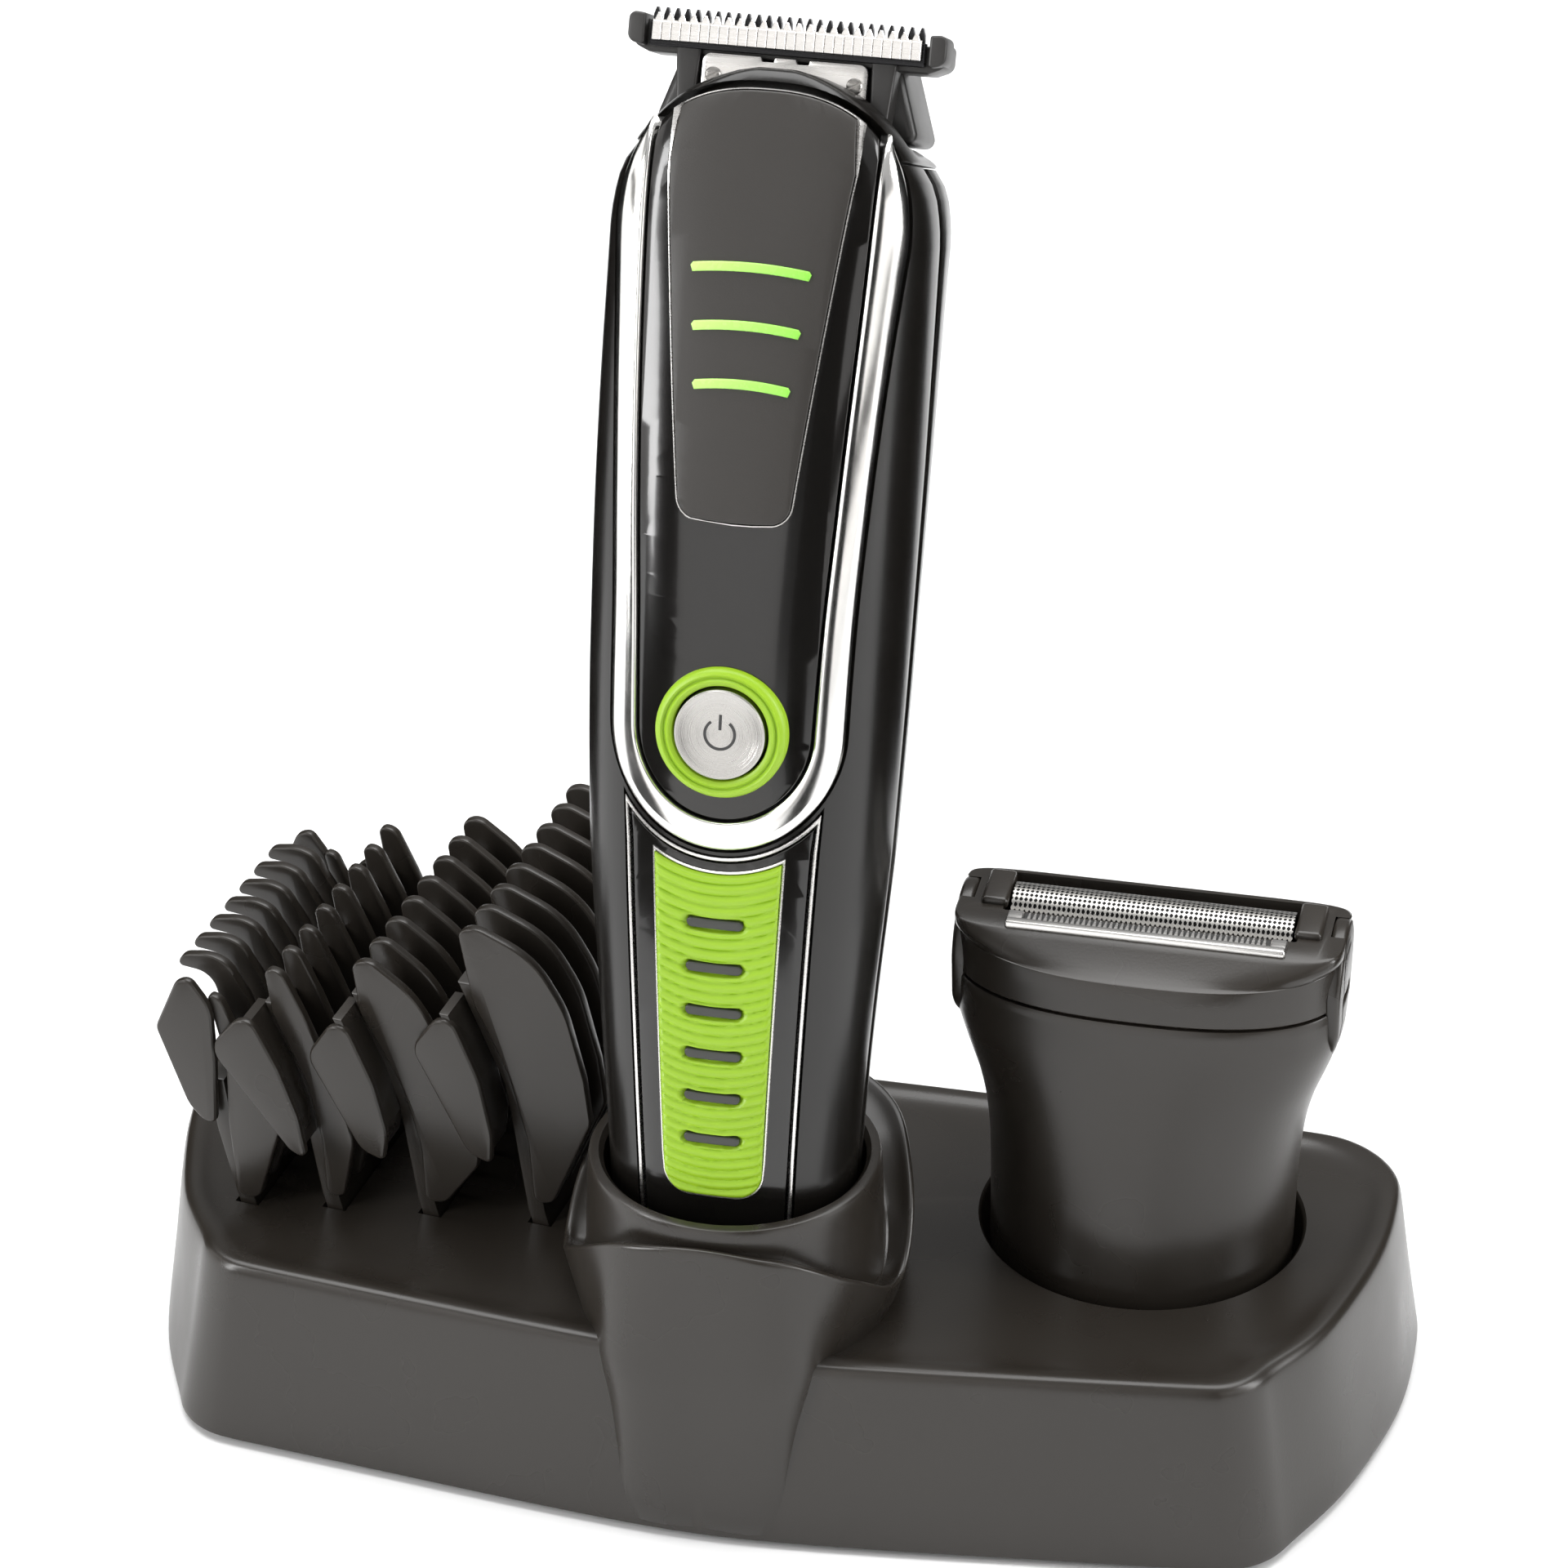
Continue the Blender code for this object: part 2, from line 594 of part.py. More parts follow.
def make_head(black, steel, dark_steel):
    frame = mesh_object("head_frame", head_part(block(-9.0, 9.0, 155.5, 163.0), -8.0, 6.0), black)
    base = [(-16.8, 162.3), (16.8, 162.3), (13.4, 172.2), (-13.4, 172.2)]
    join(frame, head_part(base, -12.0, 3.0))
    for side in (-1, 1):
        arm = [(13.0 * side, 162.6), (11.2 * side, 162.6), (11.0 * side, 171.2), (13.8 * side, 171.2)]
        join(frame, head_part(arm, 2.0, 6.8))
    join(frame, head_part(block(-20, 20, 171.8, 174.6), -2.0, 5.4))
    cut(frame, head_part(block(-6.4, 6.4, 150, 169.6), -3.4, 3.4))
    cut(frame, head_part(block(-3.2, 3.2, 165, 180), -2.6, 2.6))
    half = BLADE_WIDTH / 2
    toothed = [(-half, 171.6), (half, 171.6), (half, 174.6)] + comb_teeth(half - 0.4, 174.6, 176.4, FIXED_TEETH)
    mesh_object("fixed_blade", head_part(toothed + [(-half, 174.6)], 5.7, 6.9), dark_steel)
    half = MOVING_BLADE_WIDTH / 2
    toothed = [(-half, 172.4), (half, 172.4)] + comb_teeth(half, 175.0, 175.9, MOVING_TEETH)
    mesh_object("moving_blade", head_part(toothed, 7.2, 8.0), steel)
    plate = mesh_object("blade_plate", head_part(block(-10.4, 10.4, 164.0, 171.3), 6.0, 6.9), steel)
    for x in (-8.6, 8.6):
        cut(plate, head_cylinder(x, PLATE_SCREW_S, 0.75, 4, 9))
        name = "plate_screw_left" if x < 0 else "plate_screw_right"
        screw = mesh_object(name, head_cylinder(x, PLATE_SCREW_S, 1.0, 7.2, 7.8), dark_steel)
        join(screw, head_cylinder(x, PLATE_SCREW_S, 0.45, 6.1, 7.5))


def head_cylinder(x, s, radius, back, front, count=12):
    made = transformed(cylinder(radius, back, front, count=count), Matrix.Translation((x, s - HEAD_S, 0)))
    return transformed(made, motor_frame() @ Matrix.Rotation(pi / 2, 4, "X"))


def make_drive(black, steel):
    fork = mesh_object("drive_fork", head_part(block(-4.6, 4.6, 150.6, 156.2), -2.9, 2.9), black)
    slot = 2 * BLADE_STROKE + CRANK_PIN_RADIUS + 0.2
    cut(fork, head_part(block(-slot, slot, 149, 154.8), -1.8, 1.8))
    join(fork, head_part(block(-1.5, 1.5, 155.6, 168.2), -1.5, 1.5))
    coils = mesh_object("tension_spring", head_part(block(-1.2, 1.2, 158.6, 167.0), 1.9, 3.0), steel)
    cut(coils, head_part(block(-0.5, 0.5, 159.4, 166.2), 1.0, 4.0))


# ---------------------------------------------------------------- foil head


def oblong(half_width, half_depth, power, height, count=28):
    ring = []
    for i in range(count):
        turn = 2 * pi * i / count
        x = abs(cos(turn)) ** (2 / power) * (1 if cos(turn) > 0 else -1)
        y = abs(sin(turn)) ** (2 / power) * (1 if sin(turn) > 0 else -1)
        ring.append((FOIL_X + half_width * x, FOIL_Y + half_depth * y, height))
    return ring


def make_foil_head(satin, steel):
    # half width, half depth, squareness and height of each ring
    skin = ((20.4, 20.2, 2.0, 9.0), (20.6, 20.0, 2.0, 27.0), (20.9, 18.4, 2.1, 40.0), (22.6, 16.6, 2.3, 51.0))
    skin += ((25.0, 15.6, 2.4, 57.5), (FOIL_HALF_WIDTH, 15.2, 2.5, 61.2), (FOIL_HALF_WIDTH, 15.2, 2.5, 66.4))
    housing = mesh_object("foil_housing", loft([oblong(*row) for row in skin]), satin)
    core = [(w - 2.0, d - 2.0, p, h) for w, d, p, h in skin]
    core[0] = (18.2, 18.0, 2.0, 5.0)
    core[-1] = (24.0, 13.2, 2.5, 70.0)
    cut(housing, loft([oblong(*row) for row in core]))
    for side in (-1, 1):
        cut(housing, end_cap_solid(side, GAP))
    cover = mesh_object("foil_cover", foil_cover_solid(), satin)
    cut(cover, loft([oblong(23.4, 12.6, 2.5, 55.0), oblong(23.4, 12.4, 2.5, 70.4), oblong(21.5, 7.6, 3.0, 74.0)]))
    cut(cover, box((FOIL_X - 19.4, FOIL_Y - 4.9, 60), (FOIL_X + 19.4, FOIL_Y + 4.9, 90)))
    for side, name in ((-1, "end_cap_left"), (1, "end_cap_right")):
        cut(cover, end_cap_solid(side, GAP))
        mesh_object(name, end_cap_solid(side, 0.0), satin)
    strip = [(FOIL_X + x, y) for x, y in block(-18.4, 18.4, FOIL_Y - 9.2, FOIL_Y - 5.8)]
    mesh_object("trimmer_strip", prism(strip, 75.9, 76.7), steel)
    mesh_object("foil", arched_foil(4.2), steel)
    cutter = mesh_object("foil_cutter", arched_block(2.9, 16.8, 71.5), steel)
    join(cutter, box((FOIL_X - 5, FOIL_Y - 2.4, 58), (FOIL_X + 5, FOIL_Y + 2.4, 72.5)))


def foil_cover_solid():
    rows = ((25.9, 15.1, 2.5, 66.8), (25.9, 14.9, 2.5, 72.2), (25.6, 9.4, 6.0, 75.6))
    return loft([oblong(*row) for row in rows])


def end_cap_solid(side, grow):
    """A rounded plate closing one end, pointed at its lower end."""
    radius = 7.6 + grow
    points = arc((FOIL_Y, 68.4), radius, 0, 180, 9) + [(FOIL_Y - 5.6 - grow, 60.0)]
    points += [(FOIL_Y, 55.2 - grow), (FOIL_Y + 5.6 + grow, 60.0)]
    near, far = 23.6 - grow, 26.4 + grow
    turned = prism(points, min(side * near, side * far), max(side * near, side * far))
    swap = Matrix(((0, 0, 1, FOIL_X), (1, 0, 0, 0), (0, 1, 0, 0), (0, 0, 0, 1)))
    return transformed(turned, swap)


def arch(radius, base):
    return arc((FOIL_Y, 72.6), radius, 0, 180, 9) + [(FOIL_Y - radius, base), (FOIL_Y + radius, base)]


def arched_block(radius, half_length, base):
    swap = Matrix(((0, 0, 1, FOIL_X), (1, 0, 0, 0), (0, 1, 0, 0), (0, 0, 0, 1)))
    return transformed(prism(arch(radius, base), -half_length, half_length), swap)


def arched_foil(radius):
    made = mesh_object("foil_blank", arched_block(radius, 18.6, 66.0), helper=True)
    cut(made, arched_block(radius - 0.6, 30.0, 50.0))
    bm = bmesh.new()
    bm.from_mesh(made.data)
    bmesh.ops.scale(bm, vec=(1 / MM, 1 / MM, 1 / MM), verts=bm.verts)
    bpy.data.objects.remove(made)
    return bm


# ---------------------------------------------------------------- combs


def comb_frame(place):
    """Comb coordinates: across the wing, up, and along the comb's width, into the stand."""
    turn = Matrix.Rotation(COMB_TURN, 4, "Z")
    upright = Matrix(((1, 0, 0, 0), (0, 0, 1, 0), (0, 1, 0, 0), (0, 0, 0, 1)))
    return Matrix.Translation((0, FRONT_Y, 0)) @ turn @ Matrix.Translation((0, place, 0)) @ upright


# place of the front plate, where the spine meets the deck, the spine's upper points, lobe, tooth, tooth count
COMBS = (
    {
        "place": 17.4,
        "foot": -71.6,
        "spine": ((-75.4, 46.0), (-74.3, 38.0)),
        "lobe": ((-82.8, 54.1), (-78.4, 41.6), (-74.6, 40.4), (-73.9, 51.1), (-74.6, 60.6), (-77.6, 62.8)),
        "tooth": ((-81.2, 60.4), (-80.8, 62.0), (-77.4, 63.0), (-74.4, 62.0), (-72.2, 57.0), (-68.2, 48.0),
                  (-65.4, 40.6), (-70.0, 28.0), (-73.4, 28.0), (-74.6, 42.0), (-74.4, 52.0), (-76.4, 60.0)),
        "teeth": 9,
    },
    {
        "place": 20.0,
        "foot": -59.9,
        "spine": ((-67.4, 58.0), (-63.0, 44.0)),
        "lobe": ((-75.0, 52.5), (-62.6, 37.6), (-60.9, 37.6), (-64.4, 50.0), (-69.3, 59.4)),
        "tooth": ((-67.8, 63.9), (-64.9, 63.0), (-62.7, 57.3), (-57.5, 45.0), (-56.2, 38.0), (-58.5, 29.5),
                  (-61.6, 29.5), (-62.4, 44.0), (-67.2, 57.0)),
        "teeth": 8,
    },
    {
        "place": 22.8,
        "foot": -47.0,
        "spine": ((-56.0, 60.0), (-49.8, 44.0)),
        "lobe": ((-62.0, 52.2), (-53.9, 37.9), (-51.0, 37.5), (-51.2, 46.0), (-56.8, 60.2)),
        "tooth": ((-56.6, 65.3), (-54.4, 66.1), (-47.4, 61.5), (-41.5, 50.0), (-39.0, 43.6), (-39.2, 36.6),
                  (-44.4, 29.5), (-48.2, 29.5), (-50.0, 44.0), (-55.6, 58.0)),
        "teeth": 8,
    },
    {
        "place": 25.6,
        "foot": -32.1,
        "spine": ((-41.8, 63.0), (-35.4, 48.0)),
        "lobe": ((-48.0, 54.7), (-39.4, 38.5), (-36.6, 38.4), (-37.8, 50.0), (-42.6, 62.0)),
        "tooth": ((-42.4, 71.5), (-40.0, 72.3), (-31.6, 68.8), (-28.1, 63.7), (-25.7, 56.9), (-24.7, 50.7),
                  (-24.1, 44.8), (-30.2, 30.5), (-33.6, 30.5), (-34.2, 46.0), (-40.2, 61.0)),
        "teeth": 8,
    },
)


def spine_outline(comb, half, foot_depth):
    """A bent strip from the top of the comb down to its tongue in the deck."""
    deck = RIM_HEIGHT - DECK_DIP
    path = list(comb["spine"])
    path += [(comb["foot"] - COMB_LEAN * rise, deck + rise) for rise in (2.0, -foot_depth)]
    left = [(u - half, h) for u, h in path]
    right = [(u + half, h) for u, h in reversed(path)]
    return left + right


def comb_slots():
    deck = RIM_HEIGHT - DECK_DIP
    for comb in COMBS:
        low, high = comb["foot"] + 9 * COMB_LEAN, comb["foot"] - 9 * COMB_LEAN
        outline = [(low - 1.75, deck - 9), (low + 1.75, deck - 9), (high + 1.75, deck + 9), (high - 1.75, deck + 9)]
        yield comb, transformed(prism(outline, 0.6, COMB_WIDTH - 0.6), comb_frame(comb["place"]))


def make_combs(finish):
    for number, comb in enumerate(COMBS, 1):
        frame = comb_frame(comb["place"])
        spine = prism(spine_outline(comb, 1.25, COMB_SLOT_DEPTH), 1.0, COMB_WIDTH - 1.0)
        body = mesh_object(f"comb_{number}", transformed(spine, frame), finish)
        pitch = (COMB_WIDTH - PLATE) / (comb["teeth"] - 1)
        for i in range(comb["teeth"]):
            plate = prism(comb["tooth"], i * pitch, i * pitch + PLATE)
            join(body, transformed(plate, frame))
        for low in (0.0, COMB_WIDTH - PLATE):
            join(body, transformed(prism(comb["lobe"], low, low + PLATE), frame))


# ---------------------------------------------------------------- assembly


def main():
    clear_scene()
    satin = material("satin_charcoal", (0.045, 0.04, 0.036), 0.42)
    shell = material("satin_black", (0.018, 0.017, 0.016), 0.38)
    gloss = material("gloss_black", (0.008, 0.008, 0.008), 0.12)
    matte = material("matte_graphite", (0.05, 0.048, 0.045), 0.55)
    lime = material("lime_rubber", (0.36, 0.58, 0.02), 0.5)
    accent = material("lime_lens", (0.45, 0.75, 0.12), 0.3)
    chrome = material("chrome_plate", (0.8, 0.8, 0.8), 0.12, 1.0)
    steel = material("bright_steel", (0.7, 0.7, 0.7), 0.3, 1.0)
    dark_steel = material("dark_steel", (0.3, 0.3, 0.3), 0.35, 1.0)
    black = material("black_moulding", (0.02, 0.02, 0.02), 0.5)
    rubber = material("black_rubber", (0.02, 0.02, 0.02), 0.8)
    brass = material("contact_brass", (0.75, 0.55, 0.2), 0.3, 1.0)
    board = material("board_green", (0.02, 0.12, 0.05), 0.5)
    sleeve = material("cell_sleeve", (0.02, 0.15, 0.35), 0.4)

    make_stand_housing(satin)
    make_base_plate(black)
    make_feet_and_screws(rubber, steel)
    make_stand_electrics(board, brass, black)
    make_shells(shell)
    make_end_pieces(shell)
    make_front_trim(chrome, gloss, matte, accent)
    make_grip(gloss, steel, lime)
    make_button(lime, steel)
    make_internals(sleeve, board, black, steel, brass)
    make_head(black, steel, dark_steel)
    make_drive(black, steel)
    make_foil_head(satin, steel)
    make_combs(satin)


main()
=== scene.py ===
"""Cordless beard trimmer in its charging stand, with four guard combs and a foil shaver head.

The object is put together from the floor up: studio, stand, trimmer, cutting head, foil head, combs.
Shapes are worked in millimetres, X across, -Y to the front and Z up, and settle() turns them into metres.
"""

from math import acos, atan2, cos, degrees, pi, radians, sin, sqrt, tan

import bmesh
import bpy
import numpy as np
from mathutils import Matrix, Vector


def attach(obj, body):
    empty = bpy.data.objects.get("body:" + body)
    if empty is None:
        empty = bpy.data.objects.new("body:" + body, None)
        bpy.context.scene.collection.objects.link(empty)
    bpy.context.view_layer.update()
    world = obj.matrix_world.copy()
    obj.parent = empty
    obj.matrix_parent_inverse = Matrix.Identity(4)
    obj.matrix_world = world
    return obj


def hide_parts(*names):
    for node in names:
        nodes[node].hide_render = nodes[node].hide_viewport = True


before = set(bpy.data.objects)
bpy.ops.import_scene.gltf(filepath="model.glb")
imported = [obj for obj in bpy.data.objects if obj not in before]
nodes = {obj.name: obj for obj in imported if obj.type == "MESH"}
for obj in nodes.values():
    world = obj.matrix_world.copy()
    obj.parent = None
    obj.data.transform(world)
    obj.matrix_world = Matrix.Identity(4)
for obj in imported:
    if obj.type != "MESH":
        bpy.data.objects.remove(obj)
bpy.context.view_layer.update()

scene = bpy.context.scene

# ------------------------------------------------------------------ studio
# A product table: white sweep of paper under the object, a broad soft light overhead, one tall soft
# box on the left, a narrower one on the right, and a long lens looking down from the front right.
# Black flags outside the picture put the dark streaks into the chrome and the glossy plastic.


def node(tree, kind, values=None, **settings):
    """Adds a shader node: the settings are its own properties, the values go into its sockets."""
    made = tree.nodes.new("ShaderNode" + kind)
    for name, setting in settings.items():
        setattr(made, name, setting)
    for socket, value in (values or {}).items():
        made.inputs[socket].default_value = value
    return made


def wire(tree, *joints):
    """Joins sockets, each joint given as a node, its output, the next node and its input."""
    for source, output, target, socket in joints:
        tree.links.new(source.outputs[output], target.inputs[socket])


def finish_named(name, values=None):
    """A new material with its node tree and its shader; values go into the shader's sockets."""
    made = bpy.data.materials.new(name)
    made.use_nodes = True
    shader = made.node_tree.nodes["Principled BSDF"]
    for socket, value in (values or {}).items():
        shader.inputs[socket].default_value = value
    return made, made.node_tree, shader


def thing(name, bm, finish):
    """An object from a mesh, with one material."""
    data = bpy.data.meshes.new(name)
    bm.to_mesh(data)
    bm.free()
    data.materials.append(finish)
    made = bpy.data.objects.new(name, data)
    scene.collection.objects.link(made)
    return made


camera = bpy.data.objects.new("camera", bpy.data.cameras.new("camera"))
camera.data.lens = 121.9
camera.data.sensor_width = 36.0
camera.data.clip_start = 0.02
camera.location = (0.1298, -0.5815, 0.4379)
camera.rotation_euler = (radians(60.0), 0.0, radians(12.3))
scene.collection.objects.link(camera)
scene.camera = camera
scene.view_settings.view_transform = "Standard"

white_paper = finish_named("white_paper", {"Base Color": (0.93, 0.93, 0.93, 1.0), "Roughness": 0.9,
                                           "Specular IOR Level": 0.1})[0]
sheet = bmesh.new()
bmesh.ops.create_grid(sheet, x_segments=1, y_segments=1, size=6.0)
thing("table", sheet, white_paper)

world = bpy.data.worlds.new("studio")
scene.world = world
world.use_nodes = True
tree = world.node_tree
direction = node(tree, "TexCoord")
split = node(tree, "SeparateXYZ")
sky = node(tree, "ValToRGB")
sky.color_ramp.elements.new(0.22)
horizon, dim, zenith = sky.color_ramp.elements
for band, grey in ((horizon, 0.42), (dim, 0.3), (zenith, 1.0)):
    band.color = (grey, grey, grey, 1.0)
backdrop = tree.nodes["Background"]
backdrop.inputs["Strength"].default_value = 0.6
wire(tree, (direction, "Generated", split, 0), (split, "Z", sky, 0), (sky, "Color", backdrop, "Color"))


def soft_box(name, place, target, width, height, power):
    lamp = bpy.data.lights.new(name, "AREA")
    lamp.shape, lamp.size, lamp.size_y, lamp.energy = "RECTANGLE", width, height, power
    made = bpy.data.objects.new(name, lamp)
    made.location = place
    made.rotation_euler = (Vector(target) - Vector(place)).to_track_quat("-Z", "Y").to_euler()
    scene.collection.objects.link(made)


soft_box("overhead", (-0.1, 0.25, 1.3), (0.0, 0.0, 0.0), 1.5, 1.0, 21.0)
soft_box("left_box", (-0.95, -0.75, 0.5), (0.0, 0.0, 0.06), 0.28, 0.9, 11.0)
soft_box("right_box", (1.0, -0.05, 0.55), (0.0, 0.0, 0.06), 0.3, 0.9, 8.0)


def card_finish(name, tone, glow):
    return finish_named(name, {"Base Color": (tone, tone, tone, 1.0), "Specular IOR Level": 0.0,
                               "Emission Color": (1.0, 0.975, 0.95, 1.0), "Emission Strength": glow})[0]


def card(name, finish, first, last, places):
    """A curved card round the object, between two bearings from straight ahead, seen only in reflections."""
    mesh = bmesh.new()
    rows = []
    for i in range(9):
        turn = radians(first + (last - first) * i / 8)
        rows.append([mesh.verts.new((r * sin(turn), -r * cos(turn), z)) for r, z in places])
    for here, there in zip(rows, rows[1:]):
        for i in range(len(places) - 1):
            mesh.faces.new((here[i], there[i], there[i + 1], here[i + 1]))
    made = thing(name, mesh, finish)
    made.visible_camera = made.visible_diffuse = made.visible_shadow = False


black_felt = card_finish("black_felt", 0.004, 0.0)
white_card = card_finish("white_card", 0.5, 0.85)
near_flag = ((0.24, 0.002), (1.5, 0.002), (1.5, 1.7))
far_flag = ((0.17, 0.002), (1.5, 0.002), (1.5, 1.2))
side_card = ((1.55, 0.0), (1.55, 1.1))
card("flag_left", black_felt, -58.0, -31.0, near_flag)
card("flag_right", black_felt, 15.0, 33.0, near_flag)
card("card_front", white_card, -31.0, 8.0, ((0.26, 0.003), (1.5, 0.003), (1.5, 1.7)))
card("flag_far_right", black_felt, 92.0, 150.0, far_flag)
card("flag_far_left", black_felt, -150.0, -106.0, far_flag)
card("card_left", white_card, -104.0, -58.0, side_card)
card("card_right", white_card, 33.0, 84.0, side_card)
card("streak_left", black_felt, -88.0, -58.0, ((1.45, 0.43), (1.45, 0.58)))
card("streak_right", black_felt, 33.0, 62.0, ((1.45, 0.18), (1.45, 0.36)))

# ------------------------------------------------------------------ stand
# One moulding of satin charcoal plastic: two low wings with a dished deck, and between them a tower
# whose saddle narrows to a stem in front and carries the thin-edged cup that the trimmer stands in.


def smooth_through(places, values, flat_ends=False):
    """A smooth curve through the values that doesn't swing past them."""
    places, values = np.array(places, float), np.array(values, float)
    steps = np.diff(values) / np.diff(places)
    slopes = np.zeros(len(values))
    for i in range(1, len(values) - 1):
        before, after = steps[i - 1], steps[i]
        if before * after > 0:
            slopes[i] = 2 * before * after / (before + after)
    if not flat_ends:
        slopes[0], slopes[-1] = steps[0], steps[-1]

    def at(place):
        place = min(max(place, places[0]), places[-1])
        i = min(max(int(np.searchsorted(places, place)) - 1, 0), len(places) - 2)
        step = places[i + 1] - places[i]
        t = (place - places[i]) / step
        rise = (3 - 2 * t) * t * t
        start = slopes[i] * step * t * (1 - t) ** 2
        end = slopes[i + 1] * step * (t - 1) * t * t
        return float(values[i] + (values[i + 1] - values[i]) * rise + start + end)

    return at


def sweep(rings, closed=False):
    """Extrudes a ring of points through the places of the next rings, and caps or joins the ends."""
    bm = bmesh.new()
    loop = [bm.verts.new(point) for point in rings[0]]
    edges = [bm.edges.new((a, b)) for a, b in zip(loop, loop[1:] + loop[:1])]
    if not closed:
        bm.faces.new(loop)
    for ring in rings[1:] + (rings[:1] if closed else []):
        made = bmesh.ops.extrude_edge_only(bm, edges=edges)["geom"]
        fresh = {part for part in made if isinstance(part, bmesh.types.BMVert)}
        loop = [next(e.other_vert(v) for e in v.link_edges if e.other_vert(v) in fresh) for v in loop]
        for vertex, point in zip(loop, ring):
            vertex.co = point
        edges = [bm.edges.get((a, b)) for a, b in zip(loop, loop[1:] + loop[:1])]
    if not closed:
        bm.faces.new(loop)
    bmesh.ops.remove_doubles(bm, verts=bm.verts, dist=1e-4)
    bmesh.ops.recalc_face_normals(bm, faces=bm.faces)
    return bm


def settle(bm, name, finish=None, sharp=32.0):
    """Turns a mesh in millimetres into an object in metres, smooth but for its sharp edges."""
    bmesh.ops.remove_doubles(bm, verts=bm.verts, dist=1e-4)
    bmesh.ops.recalc_face_normals(bm, faces=bm.faces)
    bmesh.ops.scale(bm, vec=(0.001, 0.001, 0.001), verts=bm.verts)
    mesh = bpy.data.meshes.new(name)
    bm.to_mesh(mesh)
    bm.free()
    shade(mesh, sharp)
    piece = bpy.data.objects.new(name, mesh)
    scene.collection.objects.link(piece)
    if finish:
        mesh.materials.append(finish)
    return piece


def shade(mesh, sharp):
    mesh.shade_smooth()
    mesh.set_sharp_from_angle(angle=radians(sharp))


def bake(piece, sharp=32.0):
    """Applies the piece's modifiers."""
    graph = bpy.context.evaluated_depsgraph_get()
    mesh = bpy.data.meshes.new_from_object(piece.evaluated_get(graph))
    piece.modifiers.clear()
    piece.data = mesh
    shade(mesh, sharp)


def rounded_out(piece, levels):
    """Subdivides the cage of a piece into its smooth surface."""
    smooth = piece.modifiers.new("smooth", "SUBSURF")
    smooth.levels = smooth.render_levels = levels
    bake(piece)


def carve(piece, cutter, operation="DIFFERENCE", sharp=32.0):
    """Cuts the cutter out of the piece, or joins it on."""
    tool = cutter if isinstance(cutter, bpy.types.Object) else settle(cutter, "tool")
    step = piece.modifiers.new("step", "BOOLEAN")
    step.solver, step.operation, step.object = "EXACT", operation, tool
    bake(piece, sharp)
    bpy.data.objects.remove(tool)


def drum(low, high, radius, top_radius=None, centre=(0.0, 0.0), sides=96):
    """An upright cylinder or cone."""
    bm = bmesh.new()
    top_radius = radius if top_radius is None else top_radius
    bmesh.ops.create_cone(bm, cap_ends=True, segments=sides, radius1=radius, radius2=top_radius,
                          depth=high - low)
    bmesh.ops.translate(bm, verts=bm.verts, vec=(centre[0], centre[1], (low + high) / 2))
    return bm


def arc(centre, radius, start, end, count):
    """Points on an arc, angles in degrees, both ends included."""
    turns = (radians(start + (end - start) * i / (count - 1)) for i in range(count))
    return [(centre[0] + radius * cos(t), centre[1] + radius * sin(t)) for t in turns]


def both_sides(right):
    """A whole outline from its right half, which runs from the bottom middle to the top middle."""
    return list(right) + [(-x, s) for x, s in reversed(right) if abs(x) > 1e-6]


def node_group(name, inputs, outputs):
    """An empty shader group with its named sockets."""
    group = bpy.data.node_groups.new(name, "ShaderNodeTree")
    for socket, kind, value in inputs:
        made = group.interface.new_socket(name=socket, in_out="INPUT", socket_type=kind)
        made.default_value = value
    for socket, kind in outputs:
        group.interface.new_socket(name=socket, in_out="OUTPUT", socket_type=kind)
    return group, group.nodes.new("NodeGroupInput"), group.nodes.new("NodeGroupOutput")


# the fine spark-eroded grain that a steel mould leaves on plastic
moulded_grain, grain_in, grain_out = node_group(
    "moulded_grain",
    [("Grain", "NodeSocketFloat", 3000.0), ("Depth", "NodeSocketFloat", 0.1),
     ("Smoothest", "NodeSocketFloat", 0.3), ("Roughest", "NodeSocketFloat", 0.4)],
    [("Roughness", "NodeSocketFloat"), ("Normal", "NodeSocketVector")])
tree = moulded_grain
place = node(tree, "TexCoord")
fine = node(tree, "TexNoise", {"Detail": 2.0})
broad = node(tree, "TexNoise", {"Scale": 60.0, "Detail": 3.0})
bump = node(tree, "Bump", {"Distance": 0.0001})
spread = node(tree, "MapRange", {"From Min": 0.3, "From Max": 0.7})
wire(tree, (place, "Object", fine, "Vector"), (place, "Object", broad, "Vector"),
           (grain_in, "Grain", fine, "Scale"), (fine, "Fac", bump, "Height"),
           (grain_in, "Depth", bump, "Strength"), (broad, "Fac", spread, "Value"),
           (grain_in, "Smoothest", spread, "To Min"), (grain_in, "Roughest", spread, "To Max"),
           (spread, "Result", grain_out, "Roughness"), (bump, "Normal", grain_out, "Normal"))

# slow changes of tone in the colour, and a painted highlight: the edges made a little paler along the rims
pigment_and_edge_highlight, pigment_in, pigment_out = node_group(
    "pigment_and_edge_highlight",
    [("Colour", "NodeSocketColor", (0.5, 0.5, 0.5, 1.0)), ("Streak", "NodeSocketColor", (0.6, 0.6, 0.6, 1.0)),
     ("Edge", "NodeSocketColor", (0.7, 0.7, 0.7, 1.0)), ("Scale", "NodeSocketFloat", 40.0),
     ("EdgeHighlight", "NodeSocketFloat", 0.3)],
    [("Colour", "NodeSocketColor")])
tree = pigment_and_edge_highlight
place = node(tree, "TexCoord")
cloud = node(tree, "TexNoise", {"Detail": 4.0})
blend = node(tree, "Mix", data_type="RGBA")
shape = node(tree, "NewGeometry")
# pointiness picks out the convex edges, which get the painted highlight
edges = node(tree, "MapRange", {"From Min": 0.53, "From Max": 0.66})
patchy_highlight = node(tree, "Math", operation="MULTIPLY")
edge_highlighted = node(tree, "Mix", data_type="RGBA")
